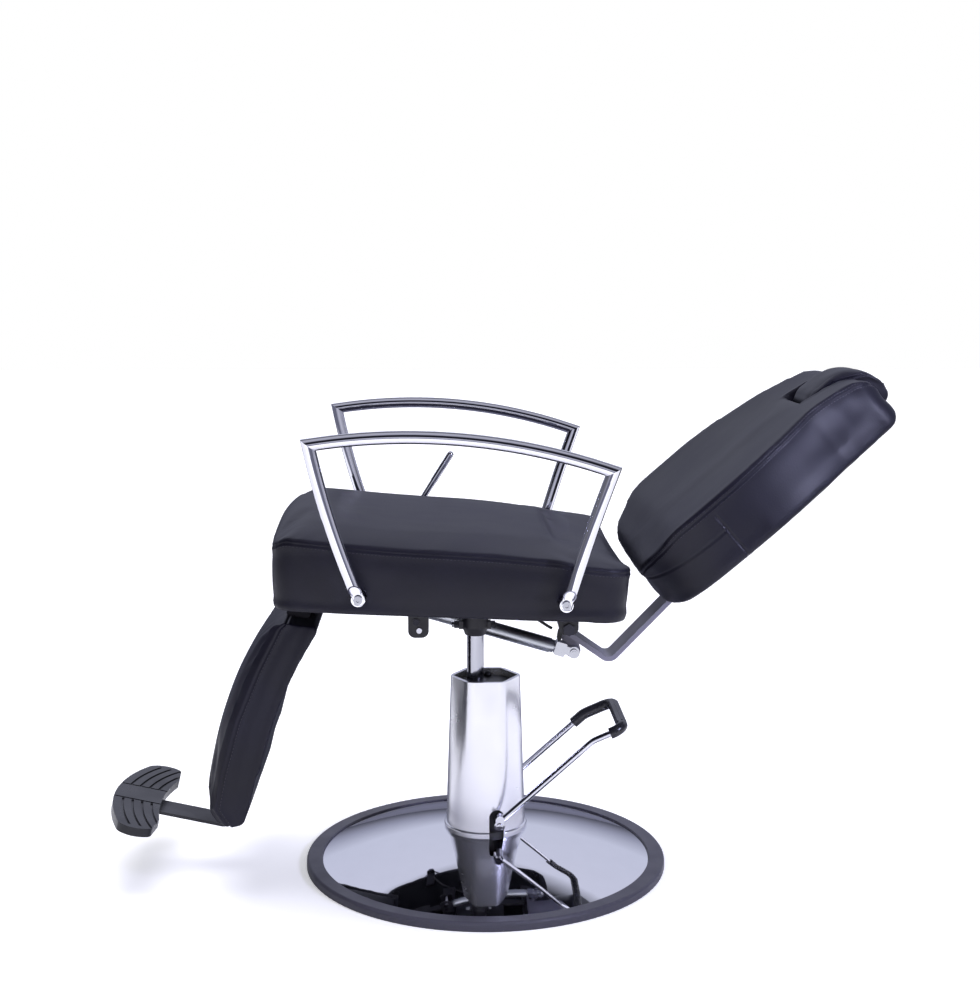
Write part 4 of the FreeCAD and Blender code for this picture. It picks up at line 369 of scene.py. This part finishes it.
def put_points(obj, points):
    """Move the vertices to new places."""
    obj.data.vertices.foreach_set("co", points.astype(np.float32).ravel())
    obj.data.update()


def in_frame(points, place):
    """Points of the chair in a cushion's own frame."""
    turned = np.array(place.inverted())
    return points @ turned[:3, :3].T + turned[:3, 3]


def copied_form(node, name):
    """A merged copy of a cushion's solid, as the start of its cover."""
    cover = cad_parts[node].copy()
    cover.data = cover.data.copy()
    cover.name = name
    cover.data.name = name
    cover.parent = None
    for key in list(cover.keys()):
        del cover[key]
    bpy.context.scene.collection.objects.link(cover)
    only(cover)
    bpy.ops.object.mode_set(mode="EDIT")
    bpy.ops.mesh.select_all(action="SELECT")
    bpy.ops.mesh.remove_doubles(threshold=0.00002)
    bpy.ops.object.mode_set(mode="OBJECT")
    if cover.data.has_custom_normals:
        bpy.ops.mesh.customdata_custom_splitnormals_clear()
    return cover


def held_by(seams, points):
    """How firmly each point is held: 1 on a seam, and none a finger's width away."""
    weights = np.zeros(len(points))
    for seam in seams:
        weights = np.maximum(weights, np.exp(-(seam.distance(points) / 0.009) ** 2))
    return weights


def remeshed(cover, place, voxel, rounds):
    """Give the cover an even mesh that runs straight along its cushion, and take its hard edges off."""
    only(cover)
    cover.data.transform(place.inverted())
    cover.data.remesh_voxel_size = voxel
    cover.data.remesh_voxel_adaptivity = 0.0
    bpy.ops.object.voxel_remesh()
    cover.data.transform(place)
    apply_modifier(cover, "SMOOTH", factor=0.5, iterations=rounds)
    bpy.ops.object.shade_smooth()


def fuller(cover, place, lift):
    """Raise the cover's face where the filling stands above the form."""
    own = in_frame(points_of(cover), place)
    own[:, 2] += lift(own)
    put_points(cover, in_frame(own, place.inverted()))


def weighted_group(cover, name, weights):
    """A vertex group with each point's weight, where it has any worth keeping."""
    group = cover.vertex_groups.new(name=name)
    for index in np.nonzero(weights > 0.02)[0]:
        group.add([int(index)], float(weights[index]), "REPLACE")
    return group


def swollen(cover, seams, clamped, sizes, swell):
    """Let the filling press the cover out between its seams and the places that are clamped."""
    start = points_of(cover)
    drawn = start - normals_of(cover) * sizes.draw_in
    weights = np.maximum(held_by(seams, start), clamped(start))
    drawn = drawn * (1 - weights[:, None]) + start * weights[:, None]
    put_points(cover, drawn)
    group = weighted_group(cover, "held_by_seams", weights)
    cloth = cover.modifiers.new("Cloth", "CLOTH")
    cloth.settings.quality = 5
    cloth.settings.mass = 0.3
    cloth.settings.tension_stiffness = 15
    cloth.settings.compression_stiffness = 15
    cloth.settings.shear_stiffness = 5
    cloth.settings.bending_stiffness = 2.0
    cloth.settings.use_pressure = True
    cloth.settings.uniform_pressure_force = 4.0
    cloth.settings.effector_weights.gravity = 0.0
    cloth.settings.vertex_group_mass = group.name
    cloth.point_cache.frame_start = 1
    cloth.point_cache.frame_end = CLOTH_STEPS
    scene = bpy.context.scene
    for step in range(1, CLOTH_STEPS + 1):
        scene.frame_set(step)
    only(cover)
    bpy.ops.object.modifier_apply(modifier=cloth.name)
    scene.frame_set(1)
    moved = points_of(cover) - drawn
    length = np.linalg.norm(moved, axis=1)
    share = np.minimum(1.0, swell / np.maximum(length, 1e-9))
    put_points(cover, drawn + moved * share[:, None])
    cover.vertex_groups.clear()
    apply_modifier(cover, "SMOOTH", factor=0.5, iterations=3)
    apply_modifier(cover, "SUBSURF", levels=1, render_levels=1)


def eased(cover, weights, rounds):
    """Smooth a part of the cover, where the filling would not follow the form's small edges."""
    group = weighted_group(cover, "eased", weights)
    apply_modifier(cover, "SMOOTH", factor=0.5, iterations=rounds, vertex_group=group.name)
    cover.vertex_groups.clear()


def averaged(values, reach):
    """A running average of evenly spaced values, weighted towards the middle."""
    half = 3 * reach
    spread = np.exp(-(np.arange(-half, half + 1) / reach) ** 2)
    return np.convolve(np.pad(values, half, mode="edge"), spread / spread.sum(), mode="valid")


def evened_sides(cover):
    """Draw the back cushion's sides into one smooth line from the widest place to the top's corner."""
    own = in_frame(points_of(cover), BACK_FRAME)
    across, along = np.abs(own[:, 0]), own[:, 1]
    places = np.arange(0.280, 0.620, 0.003)
    widths = averaged(np.array([across[np.abs(along - place) < 0.005].max() for place in places]), 3)
    factor = np.interp(along, places, averaged(widths, 11) / widths)
    share = smooth_step(across, 0.085, 0.140) * smooth_step(along, 0.32, 0.38)
    share *= 1 - smooth_step(along, 0.570, 0.600)
    own[:, 0] *= 1 + (factor - 1) * share
    put_points(cover, in_frame(own, BACK_FRAME.inverted()))
    behind_seam = back_side_seam_height(own) - own[:, 2]
    on_side = smooth_step(behind_seam, -0.004, 0.004) * (1 - smooth_step(behind_seam, 0.060, 0.070))
    eased(cover, on_side * smooth_step(along, 0.20, 0.25) * (1 - smooth_step(along, 0.590, 0.605)), 30)


def refined_near(cover, distance, reach):
    """Split the faces along a seam so that its groove can be narrow."""
    only(cover)
    near = np.abs(distance) < reach
    loops = np.empty(len(cover.data.loops), np.int32)
    cover.data.loops.foreach_get("vertex_index", loops)
    corners = [loops[face.loop_start:face.loop_start + face.loop_total] for face in cover.data.polygons]
    chosen = [bool(near[corner].all()) for corner in corners]
    bpy.ops.object.mode_set(mode="EDIT")
    bpy.ops.mesh.select_mode(type="FACE")
    bpy.ops.mesh.select_all(action="DESELECT")
    bpy.ops.object.mode_set(mode="OBJECT")
    cover.data.polygons.foreach_set("select", chosen)
    bpy.ops.object.mode_set(mode="EDIT")
    bpy.ops.mesh.subdivide(number_cuts=1, smoothness=0.0)
    bpy.ops.object.mode_set(mode="OBJECT")


def pressed_seam(cover, seam, depth, width, puff):
    """Press a seam's groove into the cover, with the leather rolled up a little beside it."""
    refined_near(cover, seam.distance(points_of(cover)), 4.5 * width)
    points = points_of(cover)
    distance = seam.distance(points)
    groove = -depth * np.exp(-(distance / width) ** 2)
    roll = puff * np.exp(-((np.abs(distance) - 2.6 * width) / (1.3 * width)) ** 2)
    lift = groove + roll
    # Leather gathers slightly between stitches
    near = np.abs(distance) < 6 * width
    gather = np.array([noise.noise(Vector(p) / 0.011) for p in points[near]])
    lift[near] += 0.35 * puff * gather * np.exp(-(distance[near] / (3.5 * width)) ** 2)
    put_points(cover, points + normals_of(cover) * lift[:, None])


def rumpled(cover, height, size):
    """Slow uneven waves, as filling leaves under a cover."""
    points = points_of(cover)
    wave = np.array([noise.noise(Vector(p) / size) for p in points])
    put_points(cover, points + normals_of(cover) * (wave * height)[:, None])


def seam_line(name, cover, seam, beside, kept):
    """The line on a cover that runs beside a seam, as a curve of one spline."""
    line = cover.copy()
    line.data = cover.data.copy()
    line.name = name
    for key in list(line.keys()):
        del line[key]
    bpy.context.scene.collection.objects.link(line)
    points = in_frame(points_of(line), seam.place)
    points[:, 2] -= seam.height(points)
    put_points(line, points)
    only(line)
    bpy.ops.object.mode_set(mode="EDIT")
    bpy.ops.mesh.select_mode(type="VERT")
    bpy.ops.mesh.select_all(action="SELECT")
    bpy.ops.mesh.bisect(plane_co=(0, 0, beside), plane_no=(0, 0, 1), clear_inner=True, clear_outer=True)
    bpy.ops.object.mode_set(mode="OBJECT")
    points = points_of(line)
    points[:, 2] += seam.height(points)
    put_points(line, points)
    bpy.ops.object.mode_set(mode="EDIT")
    bpy.ops.mesh.select_all(action="DESELECT")
    bpy.ops.object.mode_set(mode="OBJECT")
    line.data.vertices.foreach_set("select", ~(seam.kept(points) & kept(points)))
    bpy.ops.object.mode_set(mode="EDIT")
    bpy.ops.mesh.delete(type="VERT")
    bpy.ops.object.mode_set(mode="OBJECT")
    line.data.transform(seam.place)
    bpy.ops.object.convert(target="CURVE")
    line = bpy.context.view_layer.objects.active
    splines = sorted(line.data.splines, key=lambda spline: len(spline.points))
    for spline in splines[:-1]:
        line.data.splines.remove(spline)
    return line


def stitched(name, line, sizes, thread):
    """A row of stitches along a seam line: one stitch, repeated and bent along the line."""
    bpy.ops.object.select_all(action="DESELECT")
    bpy.ops.mesh.primitive_uv_sphere_add(segments=6, ring_count=5, radius=1.0, location=(0, 0, 0))
    row = bpy.context.view_layer.objects.active
    row.name = name
    row.data.name = name
    half = 0.36 * sizes.stitch_pitch
    bpy.ops.object.mode_set(mode="EDIT")
    bpy.ops.mesh.select_all(action="SELECT")
    bpy.ops.transform.rotate(value=math.pi / 2, orient_axis="Y", center_override=(0, 0, 0))
    bpy.ops.transform.resize(value=(half, thread / 2, thread / 2), center_override=(0, 0, 0))
    bpy.ops.object.mode_set(mode="OBJECT")
    bpy.ops.object.shade_smooth()
    apply_modifier(row, "ARRAY", fit_type="FIT_CURVE", curve=line, use_relative_offset=False,
                   use_constant_offset=True, constant_offset_displace=(sizes.stitch_pitch, 0, 0))
    apply_modifier(row, "CURVE", object=line, deform_axis="POS_X")
    row.data.materials.clear()
    row.data.materials.append(bpy.data.materials["bonded_thread"])
    bpy.data.objects.remove(line)
    return row


def dressed(cover, body, *nodes):
    """Give a finished cover its leather and its place on the chair."""
    cover.data.materials.clear()
    cover.data.materials.append(bpy.data.materials["embossed_leather"])
    only(cover)
    bpy.ops.object.shade_smooth()
    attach(cover, body)
    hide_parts(*nodes)


def everywhere(own):
    """A seam's whole length."""
    return np.ones(len(own), bool)


def on_left(own):
    """The half on the lever's side."""
    return own[:, 0] < 0


def on_right(own):
    """The half on the camera's side."""
    return own[:, 0] > 0


def sewn(name, cover, seam, beside, kept, sizes, body):
    """A row of thread stitches beside a seam, riding with its cushion."""
    row = stitched(name, seam_line(name + "_line", cover, seam, beside, kept), sizes, THREAD)
    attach(row, body)


def smooth_step(value, low, high):
    """0 up to the low value and 1 from the high one, with a smooth change between them."""
    share = np.clip((value - low) / (high - low), 0.0, 1.0)
    return share * share * (3.0 - 2.0 * share)


class Seam:
    """A sewn line: where the surface z = height(x, y) of a frame crosses a cover, in its kept part."""

    nowhere = 1.0

    def __init__(self, place, height, kept):
        self.place = place
        self.height = height
        self.kept = kept

    def distance(self, points):
        """How far each point lies to one side of the line, or far off outside the kept part."""
        own = in_frame(points, self.place)
        return np.where(self.kept(own), own[:, 2] - self.height(own), self.nowhere)


def seat_fullness(own):
    """The filling stands highest behind the middle of the seat."""
    return SEAT_FULLNESS * smooth_step(own[:, 1], -0.17, 0.04) * (1 - smooth_step(own[:, 1], 0.105, 0.165))


def clear_of_back(cover):
    """Draw the seat's rear in to the round that the back's foot swings past, about its hinge."""
    points = points_of(cover)
    out = points[:, 1:] - np.array(BACK_HINGE)
    reach = np.hypot(out[:, 0], out[:, 1])
    limit = SWEEP_AT_MIDDLE + (SWEEP_AT_SIDES - SWEEP_AT_MIDDLE) * (points[:, 0] / SWEEP_HALF_WIDTH) ** 2
    over = np.maximum(reach - limit, 0.0)
    # The foot never comes as far forward as straight above its hinge
    angle = np.degrees(np.arctan2(out[:, 1], out[:, 0]))
    over *= 1 - smooth_step(angle, 77.0, 88.0)
    points[:, 1:] -= out * (over / reach)[:, None]
    put_points(cover, points)


def seat_crest(own):
    """Height of the crest along the seat's sides."""
    return 0.1474 - 0.0668 * (own[:, 1] + 0.270) + seat_fullness(own)


def seat_seam_height(own):
    """Below the straight crest along the sides, lower round the front edge and across the rear."""
    across, along = np.abs(own[:, 0]), own[:, 1]
    front = 0.016 * smooth_step(-along, 0.285, 0.322)
    rear = 0.016 * smooth_step(-across, -0.253, -0.120) * smooth_step(along, 0.15, 0.20)
    return seat_crest(own) - 0.009 - front - rear


def on_seat_rim(own):
    """The cushion's sides, front and rear, but not its top."""
    return (np.abs(own[:, 0]) > 0.262) | (own[:, 1] < -0.300) | (own[:, 1] > 0.212)


# Front of the back cushion along its length: the drop at each place, from the foot's round to the top's
BACK_PROFILE = (
    (0.147, 0.030), (0.157, 0.011), (0.168, 0.004), (0.187, 0.0), (0.5605, 0.0), (0.5895, 0.004),
    (0.6075, 0.014), (0.6155, 0.023), (0.6185, 0.036))


def back_fullness(own):
    """The back is well filled from its foot up to the headrest."""
    share = smooth_step(own[:, 1], 0.175, 0.245) * (1 - smooth_step(own[:, 1], 0.500, 0.590))
    return BACK_FULLNESS * share


def back_front(own):
    """Height of the back cushion's dished front."""
    places, drops = zip(*BACK_PROFILE)
    dish = 0.018 * (1 - np.abs(own[:, 0]) / 0.260)
    return 0.057 - dish - np.interp(own[:, 1], places, drops) + back_fullness(own)


def back_side_seam_height(own):
    """A finger's width behind the front's edge."""
    return back_front(own) - 0.014


def off_notch(own):
    """All but the notch for the headrest."""
    return (np.abs(own[:, 0]) > 0.075) | (own[:, 1] < 0.515)


def back_middle_seam_height(own):
    """Halfway between the side seam and the rear."""
    return np.full(len(own), 0.013)


def below_cross_seam(own):
    """From the foot up to the cross seam."""
    return own[:, 1] < CROSS_SEAM


def back_cross_seam_height(own):
    """Square across the side, at one place along the back."""
    return np.full(len(own), CROSS_SEAM)


def across_side(own):
    """Between the side seam and the rear face, where Y runs from the front to the rear."""
    return (np.abs(own[:, 0]) > 0.18) & (own[:, 1] > -0.040) & (own[:, 1] < 0.040)


# Front of the headrest pad along the back: the drop at each place
HEADREST_PROFILE = (
    (0.5285, 0.014), (0.5375, 0.0035), (0.5585, 0.0), (0.583, 0.0), (0.633, 0.0245), (0.649, 0.060))


def headrest_seam_height(own):
    """A little behind the pad's front."""
    places, drops = zip(*HEADREST_PROFILE)
    return 0.048 - 0.011 - np.interp(own[:, 1], places, drops)


def on_headrest_rim(own):
    """The pad's two sides and its foot."""
    return (np.abs(own[:, 0]) > 0.047) | (own[:, 1] < 0.534)


# Front of the leg rest from its toe to its top, as height above the floor and reach to the front
LEGREST_PROFILE = (
    (0.1205, 0.4260), (0.148, 0.4445), (0.200, 0.4340), (0.289, 0.4090), (0.370, 0.3750), (0.436, 0.3415),
    (0.4475, 0.3280))


def legrest_seam_height(own):
    """A strip's width behind the leg rest's front face."""
    places, reaches = zip(*LEGREST_PROFILE)
    return np.interp(own[:, 1], places, reaches) - 0.019


def on_legrest_side(own):
    """The pad's two sides, its top and its toe."""
    return (np.abs(own[:, 0]) > 0.157) | (own[:, 1] > 0.4395) | (own[:, 1] < 0.1235)


SEAT_SEAM = Seam(SEAT_FRAME, seat_seam_height, on_seat_rim)
BACK_SIDE_SEAM = Seam(BACK_FRAME, back_side_seam_height, off_notch)
BACK_MIDDLE_SEAM = Seam(BACK_FRAME, back_middle_seam_height, below_cross_seam)
BACK_CROSS_SEAM = Seam(ALONG_BACK, back_cross_seam_height, across_side)
HEADREST_SEAM = Seam(BACK_FRAME, headrest_seam_height, on_headrest_rim)
LEGREST_SEAM = Seam(LEGREST_FRAME, legrest_seam_height, on_legrest_side)


class BARBER_OT_finishes(bpy.types.Operator):
    """Make the chair's finishes and give them to its hard parts"""

    bl_idname = "barber.finishes"
    bl_label = "Finish the hard parts"

    def execute(self, context):
        looks = context.scene.chair_finishes
        embossed_leather(looks)
        # Colour, least and most roughness, depth of the polish's wave
        plated_metal("bright_chrome", looks.chrome, 0.02, 0.05, 0.00006)
        # The cover's deep drawn sheet is plated over a finer brushed ground, so it mirrors softly
        plated_metal("satin_chrome", "#fafaff", 0.24, 0.28, 0.00001, 0.88)
        plated_metal("hard_chrome", "#b9bac2", 0.10, 0.18, 0.00002)
        plated_metal("machined_steel", "#8f9094", 0.28, 0.40, 0.00002)
        plated_metal("satin_aluminium", looks.aluminium, 0.30, 0.38, 0.00002)
        plated_metal("nickel_plate", "#bdbec4", 0.14, 0.22, 0.00003)
        plated_metal("blackened_steel", "#3b3b42", 0.28, 0.38, 0.00002)
        # Colour, roughness, size and depth of the texture, strength of the highlights
        textured_coat("cast_iron", "#3b3b3d", 0.6, 0.0012, 0.0004, 0.4)
        textured_coat("ring_rubber", "#4b4a56", 0.40, 0.0010, 0.00004, 0.5)
        textured_coat("ribbed_rubber", looks.rubber, 0.30, 0.0014, 0.0001, 0.42)
        textured_coat("grip_rubber", looks.rubber, 0.24, 0.0014, 0.00006, 0.6)
        textured_coat("powder_coat", looks.paint, 0.38, 0.0012, 0.00012, 0.5)
        # The back bar's lighter grey is painted sheen and light: a lighter copy of the same powder coat that
        # stands in for the bright room its faces mirror at a grazing angle
        textured_coat("powder_coat_painted_sheen", "#8c8a98", 0.36, 0.0012, 0.00010, 0.5)
        textured_coat("moulded_plastic", looks.plastic, 0.40, 0.0016, 0.00010, 0.5)
        textured_coat("bonded_thread", "#3a3942", 0.55, 0.0006, 0.0002, 0.4)
        # Black dust cloth stapled over the boards: quite matt, with a coarse fibre
        textured_coat("nonwoven_cloth", "#19191d", 0.88, 0.0025, 0.0003, 0.2)
        zinc_under_black(0.395, 0.399)
        birch_plywood()
        for finish, nodes in FINISH_OF_NODES.items():
            for node in nodes:
                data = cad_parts[node].data
                data.materials.clear()
                data.materials.append(bpy.data.materials[finish])
        return {"FINISHED"}


class BARBER_OT_seat_cushion(bpy.types.Operator):
    """Make the seat cushion's cover, with the seam below its crest"""

    bl_idname = "barber.seat_cushion"
    bl_label = "Seat cushion"

    def execute(self, context):
        sizes = context.scene.chair_upholstery
        cover = copied_form("seat_cushion", "seat_cover")

        def clamped(points):
            """The underside is stapled to its board."""
            own = in_frame(points, SEAT_FRAME)
            return 1 - smooth_step(own[:, 2], 0.042, 0.052)

        remeshed(cover, SEAT_FRAME, sizes.voxel, 4)
        fuller(cover, SEAT_FRAME,
               lambda own: seat_fullness(own) * smooth_step(own[:, 2], 0.060, 0.115))
        swollen(cover, [SEAT_SEAM], clamped, sizes, sizes.swell)
        own = in_frame(points_of(cover), SEAT_FRAME)
        on_top = smooth_step(own[:, 2] - seat_crest(own), -0.012, -0.003)
        ahead_of_rim = 1 - smooth_step(own[:, 1], 0.195, 0.210)
        inside = 1 - smooth_step(np.abs(own[:, 0]), 0.240, 0.256)
        eased(cover, on_top * ahead_of_rim * inside * smooth_step(own[:, 1], -0.02, 0.03), 80)
        clear_of_back(cover)
        pressed_seam(cover, SEAT_SEAM, depth=0.0008, width=0.0016, puff=0.0001)
        rumpled(cover, height=0.0004, size=0.09)
        dressed(cover, "seat", "seat_cushion")
        sewn("seat_stitches", cover, SEAT_SEAM, -0.0045, everywhere, sizes, "seat")
        return {"FINISHED"}


class BARBER_OT_back_cushion(bpy.types.Operator):
    """Make the back cushion's cover, with its side, cross and middle seams"""

    bl_idname = "barber.back_cushion"
    bl_label = "Back cushion"

    def execute(self, context):
        sizes = context.scene.chair_upholstery
        cover = copied_form("back_cushion", "back_cover")

        def clamped(points):
            """The notch stays open for the headrest, and the rear is drawn over its board."""
            own = in_frame(points, BACK_FRAME)
            in_notch = (np.abs(own[:, 0]) < 0.072) & (own[:, 1] > 0.522)
            return np.maximum(in_notch.astype(float), 1 - smooth_step(own[:, 2], -0.030, -0.012))

        seams = [BACK_SIDE_SEAM, BACK_MIDDLE_SEAM, BACK_CROSS_SEAM]
        remeshed(cover, BACK_FRAME, sizes.voxel, 5)
        fuller(cover, BACK_FRAME,
               lambda own: back_fullness(own) * smooth_step(own[:, 2], -0.015, 0.045))
        swollen(cover, seams[:1], clamped, sizes, sizes.swell)
        evened_sides(cover)
        for seam in seams:
            pressed_seam(cover, seam, depth=0.0013, width=0.0017, puff=0.0003)
        rumpled(cover, height=0.0003, size=0.09)
        dressed(cover, "back", "back_cushion")
        for beside, row in ((0.0040, "front"), (-0.0040, "rear")):
            for kept, side in ((on_left, "left"), (on_right, "right")):
                sewn(f"back_stitches_{row}_{side}", cover, BACK_SIDE_SEAM, beside, kept, sizes, "back")
        return {"FINISHED"}


class BARBER_OT_headrest(bpy.types.Operator):
    """Make the headrest pad's cover"""

    bl_idname = "barber.headrest"
    bl_label = "Headrest pad"

    def execute(self, context):
        sizes = context.scene.chair_upholstery
        cover = copied_form("headrest_pad", "headrest_cover")

        def clamped(points):
            """The foot is drawn tight over its board."""
            own = in_frame(points, BACK_FRAME)
            return 1 - smooth_step(own[:, 1], 0.530, 0.540)

        remeshed(cover, BACK_FRAME, 0.003, 2)
        swollen(cover, [HEADREST_SEAM], clamped, sizes, 0.004)
        pressed_seam(cover, HEADREST_SEAM, depth=0.0012, width=0.0016, puff=0.0004)
        dressed(cover, "headrest", "headrest_pad")
        sewn("headrest_stitches", cover, HEADREST_SEAM, -0.0035, everywhere, sizes, "headrest")
        return {"FINISHED"}


class BARBER_OT_leg_rest(bpy.types.Operator):
    """Make the leg rest's covers, the pad and its back panel"""

    bl_idname = "barber.leg_rest"
    bl_label = "Leg rest"

    def execute(self, context):
        sizes = context.scene.chair_upholstery
        pad = copied_form("legrest_pad", "legrest_cover")

        def clamped(points):
            """The rear is drawn flat over the board, behind the panel."""
            own = in_frame(points, LEGREST_FRAME)
            return 1 - smooth_step(own[:, 2] - legrest_seam_height(own), -0.050, -0.035)

        remeshed(pad, LEGREST_SLOPE, 0.005, 4)
        swollen(pad, [LEGREST_SEAM], clamped, sizes, 0.005)
        # The front panel's edge rolls back to its seam
        points = points_of(pad)
        own = in_frame(points, LEGREST_FRAME)
        ahead = own[:, 2] - legrest_seam_height(own)
        points[:, 0] *= 1 - 0.030 * smooth_step(ahead, 0.002, 0.022)
        put_points(pad, points)
        pressed_seam(pad, LEGREST_SEAM, depth=0.0014, width=0.0018, puff=0.0005)
        rumpled(pad, height=0.0005, size=0.06)
        dressed(pad, "seat", "legrest_pad")
        for kept, side in ((on_left, "left"), (on_right, "right")):
            sewn(f"legrest_stitches_{side}", pad, LEGREST_SEAM, -0.0040, kept, sizes, "seat")
        panel = copied_form("legrest_back_panel", "legrest_panel_cover")
        remeshed(panel, LEGREST_SLOPE, 0.004, 3)
        swollen(panel, [], lambda points: np.zeros(len(points)), sizes, 0.003)
        dressed(panel, "seat", "legrest_back_panel")
        return {"FINISHED"}


# The room's walls from the floor's edge up to overhead: height as a direction's Z, and colour
ROOM_BEHIND = ((0.0, "#4c4d5a"), (0.14, "#9a9db2"), (0.30, "#ccd0e4"), (0.68, "#d2d5e8"), (0.76, "#1c1c22"))
ROOM_IN_FRONT = (
    (0.0, "#a4a5b6"), (0.10, "#c4c5d4"), (0.22, "#a6a7b7"), (0.30, "#1c1c24"), (0.72, "#20202a"),
    (0.88, "#b0b1c0"))


def room_side(tree, height, stops):
    """One side of the room as a colour that changes with height."""
    ramp = add_node(tree, "ShaderNodeValToRGB", {"Fac": height})
    while len(ramp.color_ramp.elements) < len(stops):
        ramp.color_ramp.elements.new(0.5)
    for element, (place, colour) in zip(ramp.color_ramp.elements, stops):
        element.position = place
        element.color = linear(colour)
    return ramp.outputs["Color"]


def studio_room():
    """Light from all round: pale walls on the camera's side, a dimmer room behind, a dark rail above."""
    world = bpy.data.worlds.new("studio_room")
    world.use_nodes = True
    tree = world.node_tree
    tree.nodes.clear()
    direction = add_node(tree, "ShaderNodeTexCoord").outputs["Generated"]
    parts = add_node(tree, "ShaderNodeSeparateXYZ", {"Vector": direction})
    to_camera = ranged(tree, parts.outputs["X"], -0.60, -0.05, interpolation_type="SMOOTHSTEP")
    behind = room_side(tree, parts.outputs["Z"], ROOM_BEHIND)
    room = mixed(tree, to_camera, behind, room_side(tree, parts.outputs["Z"], ROOM_IN_FRONT))
    # The room is dim beyond the foot plate, so that the fronts of the cushions fall into shade
    ahead = ranged(tree, parts.outputs["Y"], -0.90, -0.50, 0.30, interpolation_type="SMOOTHSTEP")
    dimmed = add_node(tree, "ShaderNodeVectorMath", {"Vector": room, "Scale": ahead}, operation="SCALE")
    seen = add_node(tree, "ShaderNodeLightPath").outputs["Is Camera Ray"]
    sky = mixed(tree, seen, dimmed.outputs["Vector"], linear("#ffffff"))
    backdrop = add_node(tree, "ShaderNodeBackground", {"Color": sky}, strength=1.0)
    add_node(tree, "ShaderNodeOutputWorld", {"Surface": backdrop.outputs["Background"]})
    return world


def add_light(scene, name, kind, energy, colour, place, target, **settings):
    """One light that faces its target and doesn't show in mirrors, which see the room instead."""
    light = bpy.data.lights.new(name, kind)
    light.energy = energy
    light.color = linear(colour)[:3]
    for key, value in settings.items():
        setattr(light, key, value)
    lamp = bpy.data.objects.new(name, light)
    lamp.location = place
    lamp.rotation_euler = (Vector(target) - Vector(place)).to_track_quat("-Z", "Y").to_euler()
    lamp.visible_glossy = False
    scene.collection.objects.link(lamp)
    return lamp


class BARBER_OT_studio(bpy.types.Operator):
    """Set up the pale floor, the soft lights and the camera"""

    bl_idname = "barber.studio"
    bl_label = "Studio"

    def execute(self, context):
        studio = context.scene.chair_studio
        bpy.ops.object.select_all(action="DESELECT")
        bpy.ops.mesh.primitive_plane_add(size=30.0, location=(0, 0, 0))
        floor = context.view_layer.objects.active
        floor.name = "studio_floor"
        floor.data.materials.append(studio_floor(studio))
        scene = context.scene
        add_light(scene, "ceiling_light", "SUN", studio.ceiling, "#fbfbff", (-0.6, 0.2, 4.0), (0.0, 0.0, 0.0),
                  angle=math.radians(60.0))
        add_light(scene, "front_softbox", "AREA", studio.front_softbox, "#fbfbff", (3.4, -0.3, 1.3),
                  (0.0, 0.0, 0.5), shape="RECTANGLE", size=2.4, size_y=1.1)
        corner = add_light(scene, "corner_softbox", "AREA", studio.corner_softbox, "#d4d6ff", (2.0, 2.2, 2.1),
                           (0.2, 0.58, 0.90), shape="SQUARE", size=0.7, spread=math.radians(50.0))
        # The highlight on the backrest's side is this light's
        corner.visible_glossy = True
        scene.world = studio_room()
        lens = bpy.data.cameras.new("studio_camera")
        lens.sensor_width = 36.0
        lens.lens = studio.lens
        lens.clip_start = 0.05
        lens.clip_end = 60.0
        camera = bpy.data.objects.new("studio_camera", lens)
        camera.location = studio.camera_place
        camera.rotation_euler = (math.pi / 2 - studio.tilt, 0.0, studio.heading)
        scene.collection.objects.link(camera)
        scene.camera = camera
        scene.view_settings.view_transform = "Standard"
        return {"FINISHED"}


STEPS = (
    BARBER_OT_finishes, BARBER_OT_seat_cushion, BARBER_OT_back_cushion, BARBER_OT_headrest, BARBER_OT_leg_rest,
    BARBER_OT_studio,
)


class BARBER_PT_panel(bpy.types.Panel):
    bl_idname = "BARBER_PT_panel"
    bl_label = "Barber Chair"
    bl_space_type = "VIEW_3D"
    bl_region_type = "UI"
    bl_category = "Barber Chair"

    def draw(self, context):
        for settings in GROUPS:
            group = getattr(context.scene, settings)
            box = self.layout.box()
            for name in group.bl_rna.properties.keys():
                if name not in ("rna_type", "name"):
                    box.prop(group, name)
        for step in STEPS:
            self.layout.operator(step.bl_idname)


GROUPS = {
    "chair_finishes": ChairFinishes,
    "chair_upholstery": UpholsterySettings,
    "chair_studio": StudioSettings,
}


def register():
    for group in GROUPS.values():
        bpy.utils.register_class(group)
    for name, group in GROUPS.items():
        setattr(bpy.types.Scene, name, bpy.props.PointerProperty(type=group))
    for step in STEPS:
        bpy.utils.register_class(step)
    bpy.utils.register_class(BARBER_PT_panel)


def unregister():
    bpy.utils.unregister_class(BARBER_PT_panel)
    for step in reversed(STEPS):
        bpy.utils.unregister_class(step)
    for name, group in GROUPS.items():
        delattr(bpy.types.Scene, name)
        bpy.utils.unregister_class(group)


def main():
    register()
    for step in STEPS:
        family, name = step.bl_idname.split(".")
        getattr(getattr(bpy.ops, family), name)()


if __name__ == "__main__":
    main()
